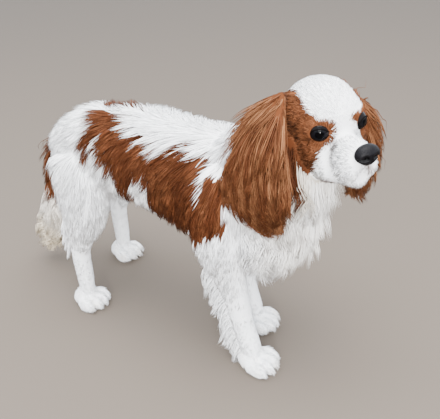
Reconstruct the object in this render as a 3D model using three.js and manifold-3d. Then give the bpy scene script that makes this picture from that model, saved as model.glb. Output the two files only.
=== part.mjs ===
// Cavalier king charles spaniel, standing still with its head turned to its right.
// Millimetres, +Z up, +X towards the dog's nose, +Y towards its left side.
import * as THREE from 'three';
import { mergeVertices } from 'three/addons/utils/BufferGeometryUtils.js';
import Module from 'manifold-3d';

const wasm = await Module();
wasm.setup();
const { Manifold, Mesh } = wasm;

// Gap left between neighbouring pieces
const GAP = 0.3;

// Stance: where the middle of each paw stands on the floor
const STANCE = {
  frontRight: { x: 160, y: -43 },
  frontLeft: { x: 122, y: 30 },
  hindRight: { x: -124, y: -58 },
  hindLeft: { x: -165, y: 71 },
};

// Trunk: x, y, z of the spine, then half width, height above and depth below it
const TRUNK = [
  { at: [-192, 2, 236], side: 30, up: 26, down: 34 },
  { at: [-166, 2, 238], side: 54, up: 44, down: 56 },
  { at: [-110, 1, 246], side: 64, up: 60, down: 58 },
  { at: [-42, 0, 250], side: 66, up: 60, down: 54 },
  { at: [30, 0, 246], side: 68, up: 60, down: 64 },
  { at: [92, 0, 238], side: 70, up: 66, down: 78 },
  { at: [152, 0, 228], side: 66, up: 64, down: 78 },
  { at: [202, 5, 218], side: 48, up: 42, down: 56 },
];

// Neck from the withers to the back of the skull
const NECK = [
  { at: [112, 0, 252], side: 58, up: 58, down: 62 },
  { at: [148, 1, 276], side: 58, up: 54, down: 66 },
  { at: [180, 3, 300], side: 53, up: 46, down: 62 },
  { at: [203, 6, 322], side: 38, up: 34, down: 42 },
];

// Tail, hanging with its feathering
const TAIL = [
  { at: [-196, 0, 246], side: 14, up: 14, down: 14 },
  { at: [-212, 0, 214], side: 15, up: 15, down: 15 },
  { at: [-222, 0, 170], side: 16, up: 18, down: 18 },
  { at: [-236, 0, 120], side: 17, up: 24, down: 20 },
  { at: [-256, 0, 76], side: 14, up: 24, down: 22 },
  { at: [-266, 0, 44], side: 8, up: 14, down: 14 },
];

// Legs: centre line from the body down to the pastern, sizes are side, front and back
const FRONT_LEG = [
  { up: 250, ahead: -46, out: 22, side: 22, front: 34, back: 34 },
  { up: 200, ahead: -46, out: 20, side: 27, front: 36, back: 34 },
  { up: 158, ahead: -38, out: 12, side: 24, front: 26, back: 26 },
  { up: 112, ahead: -30, out: 4, side: 20, front: 20, back: 20 },
  { up: 66, ahead: -22, out: 1, side: 18, front: 18, back: 18 },
  { up: 32, ahead: -12, out: 0, side: 18, front: 18, back: 17 },
  { up: 14, ahead: -6, out: 0, side: 15, front: 14, back: 14 },
];
const HIND_LEG = [
  { up: 256, ahead: -4, out: -18, side: 26, front: 44, back: 36 },
  { up: 216, ahead: 8, out: -8, side: 32, front: 50, back: 42 },
  { up: 172, ahead: 14, out: -3, side: 30, front: 38, back: 36 },
  { up: 132, ahead: 4, out: 0, side: 22, front: 26, back: 28 },
  { up: 94, ahead: -5, out: 0, side: 17, front: 18, back: 18 },
  { up: 50, ahead: -5, out: 0, side: 16, front: 17, back: 16 },
  { up: 14, ahead: -5, out: 0, side: 14, front: 15, back: 14 },
];

// Paw: length, width and height with the hair, toes and claws
const PAW = { long: 56, wide: 46, high: 30, toe: 12, heel: 17, claw: 3.2, sole: 2.5 };

// Head: place of its middle, and its turn in degrees about up, left and forward
const HEAD = { at: [212.9, 6.2, 332.9], yaw: -35.2, pitch: -0.4, roll: 5.9, scale: 0.95 };
const SKULL = { at: [-11, 0, 7], size: [49, 45, 44] };
const MUZZLE = { at: [46, 0, -14], size: [33, 18, 17] };
const FLEW = { at: [54.5, 12, -27.5], size: [21.5, 12.8, 18] };
const CHEEK = { at: [4, 19, -21], size: [30, 26, 30] };
const JOWL = { at: [22, 16, -40.5], size: [31, 16.5, 16.5] };
const BROW = { at: [18, 19.5, 17.5], size: [15.5, 14, 10] };
const FOREHEAD = { at: [12, 0, 22], size: [24, 24, 20.5] };
const HEAD_HEART = { x: 10, z: -4, blend: 3.8, beyond: 110 };
const JAW = { back: 34, front: 70, wide: 14.5, high: 10, deep: 9, drop: -45 };
const NOSE = { at: [77, 0, -8], size: [10, 14, 11.5], nostril: 3.2 };
const EYE = { at: [23.6, 22.3, 6], size: 12, out: 30 };
const LID = { wide: 10.2, high: 7.6, thick: 2.4, forward: 8.0 };

// Ear leaves, hanging from the side of the skull: x, y, z of the middle, half width, half thickness
const EAR_RIGHT = [
  { at: [175, -18, 369], side: 15, thick: 9 },
  { at: [169, -42, 346], side: 28, thick: 13 },
  { at: [170, -63, 316], side: 38, thick: 15 },
  { at: [172, -72, 286], side: 43, thick: 16 },
  { at: [175, -74, 258], side: 40, thick: 15 },
  { at: [182, -74, 240], side: 25, thick: 10 },
];
const EAR_LEFT = [
  { at: [224, 37, 362], side: 12, thick: 8 },
  { at: [233, 46, 344], side: 22, thick: 12 },
  { at: [238, 52, 318], side: 28, thick: 13 },
  { at: [239, 53, 290], side: 30, thick: 14 },
  { at: [237, 52, 264], side: 29, thick: 13 },
  { at: [235, 50, 246], side: 20, thick: 8 },
];
const EAR_FACE = { right: -96, left: 42 };
// Shallow hollow of the ear's inner side: place along the leaf, and its half sizes
const EAR_CUP = { t: 0.36, wide: 0.5, deep: 5, long: 26 };

// Long coat in flat tapered locks. Each region gives the spots along and round its form, the
// first and last direction of a lock, its length, half width and half thickness, and its wave.
const COAT = {
  chest: {
    along: [0.8, 0.98], round: [-160, -20], rows: 3, each: 7,
    first: [0.5, 0.08, -0.7], last: [0.05, 0, -1],
    length: [46, 64], wide: [11, 15], thick: 3.4, wave: 3, rise: 0.4,
  },
  sternum: {
    along: [0.64, 0.78], round: [-125, -55], rows: 1, each: 4,
    first: [-0.4, 0, -0.7], last: [-0.4, 0, -1],
    length: [34, 44], wide: [9, 12], thick: 3, wave: 2, rise: 0.2,
  },
  bellyRight: {
    along: [0.24, 0.68], round: [-164, -144], rows: 6, each: 1,
    lay: [-0.09, 14], length: [46, 56], wide: [10, 14], thick: 3, wave: 2, rise: 7,
  },
  bellyLeft: {
    along: [0.24, 0.68], round: [-36, -16], rows: 6, each: 1,
    lay: [-0.09, -14], length: [46, 56], wide: [10, 14], thick: 3, wave: 2, rise: 7,
  },
  back: {
    along: [0.26, 0.86], round: [42, 138], rows: 4, each: 3,
    lay: [-0.14, 0], length: [50, 60], wide: [10, 14], thick: 3, wave: 2, rise: 8,
  },
  rump: {
    along: [0.1, 0.16], round: [20, 160], rows: 1, each: 5,
    lay: [-0.12, 0], length: [50, 60], wide: [9, 12], thick: 3, wave: 2, rise: 7,
  },
  throat: {
    along: [0.45, 0.84], round: [-160, -20], rows: 2, each: 6,
    first: [0.45, 0, -0.7], last: [0.1, 0, -1],
    length: [42, 58], wide: [11, 14], thick: 3.2, wave: 3, rise: 0.3,
  },
  scruff: {
    along: [0.3, 0.6], round: [40, 140], rows: 1, each: 3,
    lay: [-0.3, 0], length: [46, 56], wide: [10, 13], thick: 3, wave: 2, rise: 7,
  },
  frontFeather: {
    along: [0.34, 0.86], round: [-118, -62], rows: 6, each: 2,
    first: [-0.8, 0, -0.55], last: [-0.35, 0, -1],
    length: [42, 54], wide: [6, 8], thick: 2.6, wave: 3, rise: 0.5,
  },
  breeches: {
    along: [0.24, 0.64], round: [-130, -50], rows: 4, each: 2,
    first: [-0.6, 0, -0.7], last: [-0.25, 0, -1],
    length: [34, 46], wide: [8, 10], thick: 2.8, wave: 2, rise: 0.3,
  },
  plume: {
    along: [0.14, 0.9], round: [-180, 160], rows: 4, each: 4,
    first: [-0.45, 0, -0.8], last: [-0.4, 0, -1],
    length: [40, 56], wide: [7, 9], thick: 2.6, wave: 5, rise: 0.35,
  },
  earFace: {
    along: [0.3, 0.72], round: [20, 160], rows: 2, each: 3,
    lay: [0.34, 0], length: [48, 58], wide: [9, 12], thick: 3.2, wave: 4, rise: 6,
  },
  earEdge: {
    along: [0.78, 0.95], round: [-190, 150], rows: 1, each: 7,
    first: [0, 0, -1], last: [0, 0, -1], length: [32, 42], wide: [8, 11], thick: 3.2, wave: 4, rise: 0.2,
  },
};
const LOCK_STEPS = 3;

const COLOURS = {
  white: 0xe9e4dc,
  cream: 0xddd2c2,
  chestnut: 0x9c5a33,
  dark: 0x1b1512,
  iris: 0x1e120c,
};

// A repeatable stream of numbers between 0 and 1
function stream(seed) {
  let state = seed >>> 0;
  return () => {
    state = (Math.imul(state, 1664525) + 1013904223) >>> 0;
    return state / 4294967296;
  };
}

// Turns a closed geometry into a solid
function solidOf(geometry) {
  const plain = new THREE.BufferGeometry();
  plain.setAttribute('position', geometry.getAttribute('position'));
  plain.setIndex(geometry.getIndex());
  const merged = mergeVertices(plain, 1e-4);
  const points = new Float32Array(merged.getAttribute('position').array);
  const faces = new Uint32Array(merged.getIndex().array);
  if (signedVolume(points, faces) < 0) {
    for (let i = 0; i < faces.length; i += 3) {
      [faces[i], faces[i + 1]] = [faces[i + 1], faces[i]];
    }
  }
  return new Manifold(new Mesh({ numProp: 3, vertProperties: points, triVerts: faces }));
}

// Volume of a closed surface, negative where its faces point inwards
function signedVolume(points, faces) {
  const corner = (k) => new THREE.Vector3().fromArray(points, faces[k] * 3);
  let total = 0;
  for (let i = 0; i < faces.length; i += 3) {
    total += corner(i).dot(corner(i + 1).cross(corner(i + 2))) / 6;
  }
  return total;
}

// Moves each vertex of a geometry with a function that returns its new place
function moved(geometry, move) {
  const place = geometry.getAttribute('position');
  const point = new THREE.Vector3();
  for (let i = 0; i < place.count; i += 1) {
    point.fromBufferAttribute(place, i);
    const to = move(point.clone());
    place.setXYZ(i, to.x, to.y, to.z);
  }
  return geometry;
}

// Rounded body that follows a spine, with its own height above and depth below
class Loft {
  constructor(stations, { ref = [0, 0, 1], power = 2, cap = 0.12 } = {}) {
    this.line = new THREE.CatmullRomCurve3(stations.map((s) => new THREE.Vector3(...s.at)));
    this.size = new THREE.CatmullRomCurve3(stations.map((s) => new THREE.Vector3(s.side, s.up, s.down)));
    this.ref = new THREE.Vector3(...ref);
    this.power = power;
    this.cap = cap;
  }

  frame(t) {
    const centre = this.line.getPoint(t);
    const along = this.line.getTangent(t);
    const side = new THREE.Vector3().crossVectors(this.ref, along).normalize();
    const up = new THREE.Vector3().crossVectors(along, side).normalize();
    return { centre, along, side, up };
  }

  point(t, angle, grow = 0) {
    const { centre, along, side, up } = this.frame(t);
    const size = this.size.getPoint(t);
    const end = Math.min(t, 1 - t) / this.cap;
    const round = end < 1 ? Math.sqrt(Math.max(0, 1 - (1 - end) ** 2)) : 1;
    const c = Math.cos(angle);
    const s = Math.sin(angle);
    const bend = 2 / this.power;
    const across = Math.sign(c) * Math.abs(c) ** bend * (size.x + grow) * round;
    const tall = Math.sign(s) * Math.abs(s) ** bend * ((s > 0 ? size.y : size.z) + grow) * round;
    centre.addScaledVector(side, across).addScaledVector(up, tall);
    if (t < 1e-6) {
      centre.addScaledVector(along, -grow);
    }
    if (t > 1 - 1e-6) {
      centre.addScaledVector(along, grow);
    }
    return centre;
  }

  // Place, outward direction and direction of the spine at a spot of the surface
  spot(t, angle) {
    const step = 0.01;
    const here = this.point(t, angle);
    const next = this.point(Math.min(1, t + step), angle);
    const on = next.sub(this.point(Math.max(0, t - step), angle)).normalize();
    const round = this.point(t, angle + step).sub(this.point(t, angle - step)).normalize();
    const out = new THREE.Vector3().crossVectors(round, on).normalize();
    if (out.dot(here.clone().sub(this.frame(t).centre)) < 0) {
      out.negate();
    }
    return { here, out, on };
  }

  solid(around, rings, grow = 0) {
    const ball = new THREE.SphereGeometry(1, around, rings);
    return solidOf(moved(ball, (p) => {
      const t = (1 - p.y) / 2;
      const angle = Math.atan2(p.z, -p.x);
      return this.point(t, angle, grow);
    }));
  }
}

// One flat lock: a four-sided cone laid along a curve, rooted under the surface
function lock({ bend, out, wide, thick, wave, turn }, grow = 0) {
  const cone = new THREE.ConeGeometry(1, 1, 4, LOCK_STEPS);
  return solidOf(moved(cone, (p) => {
    const s = p.y + 0.5;
    const along = bend.getTangent(Math.min(s, 0.98));
    const across = new THREE.Vector3().crossVectors(along, out).normalize();
    const flat = new THREE.Vector3().crossVectors(across, along).normalize();
    const centre = bend.getPoint(s).addScaledVector(across, Math.sin(s * 5 + turn) * wave * s);
    if (s > 0.999) {
      return centre.addScaledVector(along, grow * 2);
    }
    const left = 1 - s;
    const swell = (0.55 + 0.45 * Math.sin(Math.PI * (0.25 + s * 0.75))) * left ** 0.35;
    return centre
      .addScaledVector(across, (p.x / left) * (wide * swell + grow))
      .addScaledVector(flat, (p.z / left) * (thick * swell + grow));
  }));
}

// Bend of a lock that hangs free from its root
function hangingBend({ here, out }, region, length) {
  const first = new THREE.Vector3(...region.first).addScaledVector(out, region.rise);
  const last = new THREE.Vector3(...region.last).addScaledVector(out, region.rise * 0.2);
  for (const way of [first, last]) {
    way.addScaledVector(out, -Math.min(0, way.dot(out))).normalize();
  }
  last.z -= 0.2;
  const root = here.clone().addScaledVector(out, -region.thick * 1.6).addScaledVector(first, -length * 0.12);
  const elbow = root.clone().addScaledVector(first, length * 0.5);
  const tip = elbow.clone().addScaledVector(last.normalize(), length * 0.5);
  return new THREE.QuadraticBezierCurve3(root, elbow, tip);
}

// Bend of a lock that lies along the form and lifts towards its tip
function lyingBend(form, t, angle, region) {
  const points = [0, 0.33, 0.66, 1].map((s) => {
    const at = THREE.MathUtils.clamp(t + region.lay[0] * s, 0.02, 0.98);
    const { here, out } = form.spot(at, angle + THREE.MathUtils.degToRad(region.lay[1]) * s);
    return here.addScaledVector(out, region.rise * s - region.thick * 1.1);
  });
  return new THREE.CatmullRomCurve3(points);
}

// All locks of one region of a form
function locks(form, region, seed, grow = 0) {
  const next = stream(seed);
  const solids = [];
  for (let row = 0; row < region.rows; row += 1) {
    for (let k = 0; k < region.each; k += 1) {
      const t = THREE.MathUtils.lerp(...region.along, (row + 0.25 + next() * 0.5) / region.rows);
      const share = (k + (row % 2) * 0.4 + next() * 0.4) / Math.max(1, region.each - 0.4);
      const angle = THREE.MathUtils.degToRad(THREE.MathUtils.lerp(...region.round, Math.min(1, share)));
      const spot = form.spot(t, angle);
      const length = THREE.MathUtils.lerp(...region.length, next());
      solids.push(lock({
        bend: region.lay ? lyingBend(form, t, angle, region) : hangingBend(spot, region, length),
        out: spot.out,
        wide: THREE.MathUtils.lerp(...region.wide, next()),
        thick: region.thick,
        wave: region.wave * (0.6 + next() * 0.6),
        turn: next() * 6,
      }, grow));
    }
  }
  return joined(solids);
}

// Egg-shaped form
function ball([x, y, z], [rx, ry, rz], around = 20, rings = 14, grow = 0) {
  const shape = new THREE.SphereGeometry(1, around, rings);
  return solidOf(moved(shape, (p) => new THREE.Vector3(
    x + p.x * (rx + grow),
    y - p.z * (ry + grow),
    z + p.y * (rz + grow),
  )));
}

function joined(solids) {
  return solids.reduce((a, b) => a.add(b));
}

// Everything above the floor
function aboveFloor(solid, height = 0) {
  const room = new THREE.BoxGeometry(900, 900, 700).translate(0, 0, 350 + height);
  return solid.intersect(solidOf(room));
}

// The one closed body that carries the piece
function largest(solid) {
  const parts = solid.decompose();
  return parts.reduce((a, b) => (a.volume() > b.volume() ? a : b));
}

function mirrored(side) {
  return side === 'left' ? 1 : -1;
}

// Leg centre lines, from the stance of the paw
function legLoft(stations, stance, side) {
  const sign = mirrored(side);
  const ring = stations.map((s) => ({
    at: [stance.x + s.ahead, stance.y + sign * s.out, s.up],
    side: s.side,
    up: s.front,
    down: s.back,
  }));
  return new Loft(ring, { ref: [1, 0, 0], power: 2.2, cap: 0.08 });
}

const trunk = new Loft(TRUNK, { power: 2.3, cap: 0.07 });
const neck = new Loft(NECK, { power: 2.1, cap: 0.1 });
const tail = new Loft(TAIL, { ref: [1, 0, 0], cap: 0.1 });
const legs = {
  front_leg_right: legLoft(FRONT_LEG, STANCE.frontRight, 'right'),
  front_leg_left: legLoft(FRONT_LEG, STANCE.frontLeft, 'left'),
  hind_leg_right: legLoft(HIND_LEG, STANCE.hindRight, 'right'),
  hind_leg_left: legLoft(HIND_LEG, STANCE.hindLeft, 'left'),
};
const paws = {
  front_paw_right: STANCE.frontRight,
  front_paw_left: STANCE.frontLeft,
  hind_paw_right: STANCE.hindRight,
  hind_paw_left: STANCE.hindLeft,
};

function paw(stance, grow = 0) {
  const parts = [];
  parts.push(ball([stance.x - 8, stance.y, PAW.high * 0.42],
    [PAW.long * 0.36, PAW.wide * 0.44, PAW.high * 0.56], 10, 7, grow));
  for (let i = 0; i < 4; i += 1) {
    const across = (i - 1.5) * PAW.wide * 0.235;
    const ahead = PAW.long * (i === 1 || i === 2 ? 0.2 : 0.1);
    parts.push(ball([stance.x + ahead, stance.y + across, PAW.toe * 0.72],
      [PAW.toe * 1.25, PAW.toe * 0.62, PAW.toe * 0.98], 7, 5, grow));
    const claw = new THREE.ConeGeometry(PAW.claw * 0.5 + grow, PAW.claw * 3.4, 4).rotateZ(-Math.PI * 0.62);
    claw.translate(stance.x + ahead + PAW.toe * 1.08, stance.y + across, PAW.toe * 0.62);
    parts.push(solidOf(claw));
  }
  return aboveFloor(joined(parts), -grow);
}

// Head frame to the dog's frame
const headTurn = new THREE.Matrix4()
  .makeRotationZ(THREE.MathUtils.degToRad(HEAD.yaw))
  .multiply(new THREE.Matrix4().makeRotationY(THREE.MathUtils.degToRad(HEAD.pitch)))
  .multiply(new THREE.Matrix4().makeRotationX(THREE.MathUtils.degToRad(HEAD.roll)))
  .setPosition(...HEAD.at)
  .scale(new THREE.Vector3(HEAD.scale, HEAD.scale, HEAD.scale));

function onHead(solid) {
  return solid.transform(headTurn.elements);
}

function both(make) {
  return [make(1), make(-1)];
}

const jaw = new Loft([
  { at: [JAW.back, 0, JAW.drop], side: JAW.wide, up: JAW.high, down: JAW.deep },
  { at: [JAW.back + 12, 0, JAW.drop], side: JAW.wide * 1.1, up: JAW.high, down: JAW.deep },
  { at: [JAW.front - 14, 0, JAW.drop], side: JAW.wide, up: JAW.high, down: JAW.deep },
  { at: [JAW.front, 0, JAW.drop + 1], side: JAW.wide * 0.7, up: JAW.high * 0.8, down: JAW.deep * 0.8 },
], { power: 2.3, cap: 0.2 });

function eyeBall(sign, grow = 0) {
  return ball([EYE.at[0], sign * EYE.at[1], EYE.at[2]], [EYE.size, EYE.size, EYE.size], 12, 9, grow);
}

// Ring of the lids, almond shaped, set forward on the eye and turned outwards with it
function lidRing(sign, grow = 0) {
  const ring = new THREE.TorusGeometry(1, 0.5, 6, 16);
  moved(ring, (p) => {
    const reach = Math.hypot(p.x, p.y);
    const c = p.x / reach;
    const s = p.y / reach;
    const swell = (reach - 1) * 2 * (LID.thick + grow);
    const wide = LID.wide * (1 + 0.12 * Math.abs(c) ** 3) + swell;
    const high = LID.high + swell;
    const x = LID.forward + p.z * 2 * (LID.thick + grow) - Math.abs(c) ** 2 * 3.2;
    return new THREE.Vector3(x, c * wide, s * high);
  });
  ring.rotateZ(THREE.MathUtils.degToRad(EYE.out) * sign);
  ring.translate(EYE.at[0], sign * EYE.at[1], EYE.at[2]);
  return solidOf(ring);
}

// The room in front of the eye, between the lids
function lidOpening(sign) {
  const room = new THREE.SphereGeometry(1, 14, 8);
  moved(room, (p) => new THREE.Vector3(
    LID.forward + 5 + p.x * 9,
    p.z * (LID.wide - 0.6),
    p.y * (LID.high - 0.6),
  ));
  room.rotateZ(THREE.MathUtils.degToRad(EYE.out) * sign);
  room.translate(EYE.at[0], sign * EYE.at[1], EYE.at[2]);
  return solidOf(room);
}

function nose(grow = 0) {
  const body = ball(NOSE.at, NOSE.size, 12, 9, grow);
  if (grow > 0) {
    return body;
  }
  const holes = both((sign) => ball([NOSE.at[0] + 9, sign * 6.2, NOSE.at[2] + 0.5],
    [5, NOSE.nostril, NOSE.nostril * 0.8], 8, 6));
  const slits = both((sign) => ball([NOSE.at[0] + 6, sign * 10.5, NOSE.at[2] - 2.2],
    [6, 3.4, 1.2], 6, 5));
  return body.subtract(joined([...holes, ...slits]));
}

// Roughly how far a point lies outside an egg-shaped form
function outside(point, { at, size }, sign) {
  const x = (point.x - at[0]) / size[0];
  const y = (point.y - sign * at[1]) / size[1];
  const z = (point.z - at[2]) / size[2];
  return (Math.hypot(x, y, z) - 1) * Math.min(...size);
}

// Skull, cheeks, muzzle and lips flowing into each other
function headBody(grow = 0) {
  const forms = [[SKULL, 0], [MUZZLE, 0], [FOREHEAD, 0]];
  for (const form of [FLEW, CHEEK, JOWL, BROW]) {
    forms.push([form, 1], [form, -1]);
  }
  const heart = new THREE.Vector3(HEAD_HEART.x, 0, HEAD_HEART.z);
  const blended = (point) => {
    const near = ([form, sign]) => Math.exp(-outside(point, form, sign) / HEAD_HEART.blend);
    const sum = forms.reduce((all, form) => all + near(form), 0);
    return -HEAD_HEART.blend * Math.log(sum);
  };
  const shape = new THREE.SphereGeometry(1, 26, 18);
  return solidOf(moved(shape, (p) => {
    const way = new THREE.Vector3(p.y, p.x, p.z).normalize();
    let inner = 0;
    let outer = HEAD_HEART.beyond;
    while (blended(heart.clone().addScaledVector(way, outer)) > 0) {
      inner = outer;
      outer -= 2;
    }
    [inner, outer] = [outer, inner];
    for (let i = 0; i < 12; i += 1) {
      const middle = (inner + outer) / 2;
      if (blended(heart.clone().addScaledVector(way, middle)) > 0) {
        outer = middle;
      } else {
        inner = middle;
      }
    }
    return way.multiplyScalar(inner + grow).add(heart);
  }));
}

function head(grow = 0) {
  const body = headBody(grow).add(joined(both((s) => lidRing(s, grow))));
  if (grow > 0) {
    return body;
  }
  const cuts = [
    ...both((s) => eyeBall(s, GAP)),
    ...both((s) => lidOpening(s)),
    nose(GAP),
    jaw.solid(14, 9, GAP),
  ];
  const philtrum = ball([MUZZLE.at[0] + MUZZLE.size[0] + 2, 0, -26], [9, 0.8, 9], 10, 8);
  return body.subtract(joined(cuts)).subtract(philtrum);
}

function earLoft(stations, face) {
  const turn = THREE.MathUtils.degToRad(face);
  const rings = stations.map((s) => ({ at: s.at, side: s.side, up: s.thick, down: s.thick }));
  return new Loft(rings, { ref: [Math.cos(turn), Math.sin(turn), 0], power: 2, cap: 0.16 });
}

const ears = {
  ear_right: earLoft(EAR_RIGHT, EAR_FACE.right),
  ear_left: earLoft(EAR_LEFT, EAR_FACE.left),
};

// The ear's leaf with the hollow of its inner side
function earLeaf(loft, grow) {
  const leaf = loft.solid(14, 10, grow);
  if (grow > 0) {
    return leaf;
  }
  const { centre, along, side, up } = loft.frame(EAR_CUP.t);
  const size = loft.size.getPoint(EAR_CUP.t);
  centre.addScaledVector(up, -size.z);
  const turn = new THREE.Matrix4().makeBasis(side, up, along).setPosition(centre);
  const hollow = ball([0, 0, 0], [size.x * EAR_CUP.wide, EAR_CUP.deep, EAR_CUP.long], 10, 7);
  return leaf.subtract(hollow.transform(turn.elements));
}

// Each piece as a function of how much larger it is made
const pieces = {
  eye_right: (g) => onHead(eyeBall(-1, g)),
  eye_left: (g) => onHead(eyeBall(1, g)),
  nose: (g) => onHead(nose(g)),
  lower_jaw: (g) => onHead(jaw.solid(14, 9, g)),
  head: (g) => onHead(head(g)),
  ear_right: (g) => joined([
    earLeaf(ears.ear_right, g),
    locks(ears.ear_right, COAT.earFace, 11, g),
    locks(ears.ear_right, COAT.earEdge, 12, g),
  ]),
  ear_left: (g) => joined([
    earLeaf(ears.ear_left, g),
    locks(ears.ear_left, COAT.earFace, 13, g),
    locks(ears.ear_left, COAT.earEdge, 14, g),
  ]),
  neck: (g) => joined([
    neck.solid(18, 9, g),
    locks(neck, COAT.throat, 21, g),
    locks(neck, COAT.scruff, 22, g),
  ]),
  tail: (g) => joined([tail.solid(10, 10, g), locks(tail, COAT.plume, 31, g)]),
  torso: (g) => joined([
    trunk.solid(20, 13, g),
    locks(trunk, COAT.chest, 41, g),
    locks(trunk, COAT.sternum, 42, g),
    locks(trunk, COAT.bellyRight, 43, g),
    locks(trunk, COAT.bellyLeft, 44, g),
    locks(trunk, COAT.back, 45, g),
    locks(trunk, COAT.rump, 46, g),
  ]),
};
Object.keys(legs).forEach((name, i) => {
  const region = name.startsWith('front') ? COAT.frontFeather : COAT.breeches;
  pieces[name] = (g) => legs[name].solid(12, 12, g).add(locks(legs[name], region, 51 + i, g));
});
for (const name of Object.keys(paws)) {
  pieces[name] = (g) => paw(paws[name], g);
}

// What each piece is cut clear of
const clearOf = {
  head: [],
  ear_right: ['head'],
  ear_left: ['head'],
  neck: ['head', 'lower_jaw', 'ear_right', 'ear_left'],
  front_leg_right: ['front_paw_right', 'ear_right', 'neck'],
  front_leg_left: ['front_paw_left', 'neck'],
  hind_leg_right: ['hind_paw_right'],
  hind_leg_left: ['hind_paw_left'],
  torso: ['neck', 'head', 'tail', ...Object.keys(legs), 'ear_right', 'ear_left'],
  tail: ['hind_leg_right', 'hind_leg_left'],
};

const looks = {
  torso: ['white', 0.85],
  neck: ['white', 0.85],
  head: ['white', 0.85],
  lower_jaw: ['white', 0.85],
  nose: ['dark', 0.35],
  eye_right: ['iris', 0.08],
  eye_left: ['iris', 0.08],
  ear_right: ['chestnut', 0.8],
  ear_left: ['chestnut', 0.8],
  tail: ['cream', 0.85],
};

function meshOf(name, solid) {
  const data = solid.getMesh();
  const geometry = new THREE.BufferGeometry();
  const points = new Float32Array(data.numVert * 3);
  for (let i = 0; i < data.numVert; i += 1) {
    for (let k = 0; k < 3; k += 1) {
      points[i * 3 + k] = data.vertProperties[i * data.numProp + k];
    }
  }
  geometry.setAttribute('position', new THREE.BufferAttribute(points, 3));
  geometry.setIndex(new THREE.BufferAttribute(new Uint32Array(data.triVerts), 1));
  const flat = geometry.toNonIndexed();
  flat.computeVertexNormals();
  const [colour, roughness] = looks[name] ?? ['white', 0.85];
  const material = new THREE.MeshStandardMaterial({ color: COLOURS[colour], roughness, metalness: 0 });
  const mesh = new THREE.Mesh(flat, material);
  mesh.name = name;
  return mesh;
}

const group = new THREE.Group();
group.name = 'cavalier_king_charles_spaniel';
for (const name of Object.keys(pieces)) {
  let solid = pieces[name](0);
  for (const other of clearOf[name] ?? []) {
    solid = solid.subtract(pieces[other](GAP));
  }
  group.add(meshOf(name, largest(aboveFloor(solid))));
}

// The origin is on the floor, at the middle of the whole
const whole = new THREE.Box3().setFromObject(group);
const middle = whole.getCenter(new THREE.Vector3());
for (const mesh of group.children) {
  mesh.geometry.translate(-middle.x, -middle.y, -whole.min.z);
}

export default group;
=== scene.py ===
"""Standing spaniel with a silky white and chestnut coat, its head turned to its right.

Sizes are metres in the dog's own frame: +X towards its nose, +Y towards its left, +Z up, the floor at zero.
"""

import logging
import math
from collections.abc import Callable, Sequence
from dataclasses import dataclass
from enum import Enum

import bmesh
import bpy
import numpy as np
from mathutils import Matrix, Vector
from mathutils.kdtree import KDTree


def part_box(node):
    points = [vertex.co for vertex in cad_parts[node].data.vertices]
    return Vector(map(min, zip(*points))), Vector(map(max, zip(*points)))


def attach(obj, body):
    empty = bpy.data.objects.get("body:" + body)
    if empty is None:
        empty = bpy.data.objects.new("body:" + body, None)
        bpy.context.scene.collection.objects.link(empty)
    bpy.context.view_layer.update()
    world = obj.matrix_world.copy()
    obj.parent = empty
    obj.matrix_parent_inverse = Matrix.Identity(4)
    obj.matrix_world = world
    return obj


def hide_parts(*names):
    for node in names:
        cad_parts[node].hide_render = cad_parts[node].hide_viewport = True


LOG = logging.getLogger("spaniel")
Array = np.ndarray
Colour = tuple[float, float, float]

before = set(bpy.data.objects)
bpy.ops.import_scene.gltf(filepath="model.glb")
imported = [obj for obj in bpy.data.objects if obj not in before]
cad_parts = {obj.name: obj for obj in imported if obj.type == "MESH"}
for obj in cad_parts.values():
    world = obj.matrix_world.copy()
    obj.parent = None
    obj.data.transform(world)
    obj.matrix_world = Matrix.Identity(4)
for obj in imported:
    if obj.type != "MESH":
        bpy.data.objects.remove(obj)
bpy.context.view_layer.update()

SEED = 20
UV_NAME = "OFBake"
COLOUR_NAME = "Coat"
PATCH = 0.003


class Region(Enum):
    """Parts of the body that carry their own kind of coat."""

    TRUNK = 0
    NECK = 1
    TAIL = 2
    FRONT_RIGHT = 3
    FRONT_LEFT = 4
    HIND_RIGHT = 5
    HIND_LEFT = 6
    EAR_RIGHT = 7
    EAR_LEFT = 8
    HEAD = 9
    PAW_FRONT_RIGHT = 10
    PAW_FRONT_LEFT = 11
    PAW_HIND_RIGHT = 12
    PAW_HIND_LEFT = 13


FRONT_LEGS = (Region.FRONT_RIGHT, Region.FRONT_LEFT)
HIND_LEGS = (Region.HIND_RIGHT, Region.HIND_LEFT)
EARS = (Region.EAR_RIGHT, Region.EAR_LEFT)
PAWS = (Region.PAW_FRONT_RIGHT, Region.PAW_FRONT_LEFT, Region.PAW_HIND_RIGHT, Region.PAW_HIND_LEFT)


@dataclass(frozen=True)
class Station:
    """One ring of a form: its middle, half width, and reach above and below."""

    at: tuple[float, float, float]
    side: float
    up: float
    down: float


@dataclass(frozen=True)
class Egg:
    """An egg-shaped form: its middle and half sizes, in the head's frame."""

    at: tuple[float, float, float]
    size: tuple[float, float, float]


@dataclass(frozen=True)
class Stance:
    """Where the middle of a paw stands on the floor."""

    x: float
    y: float


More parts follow.
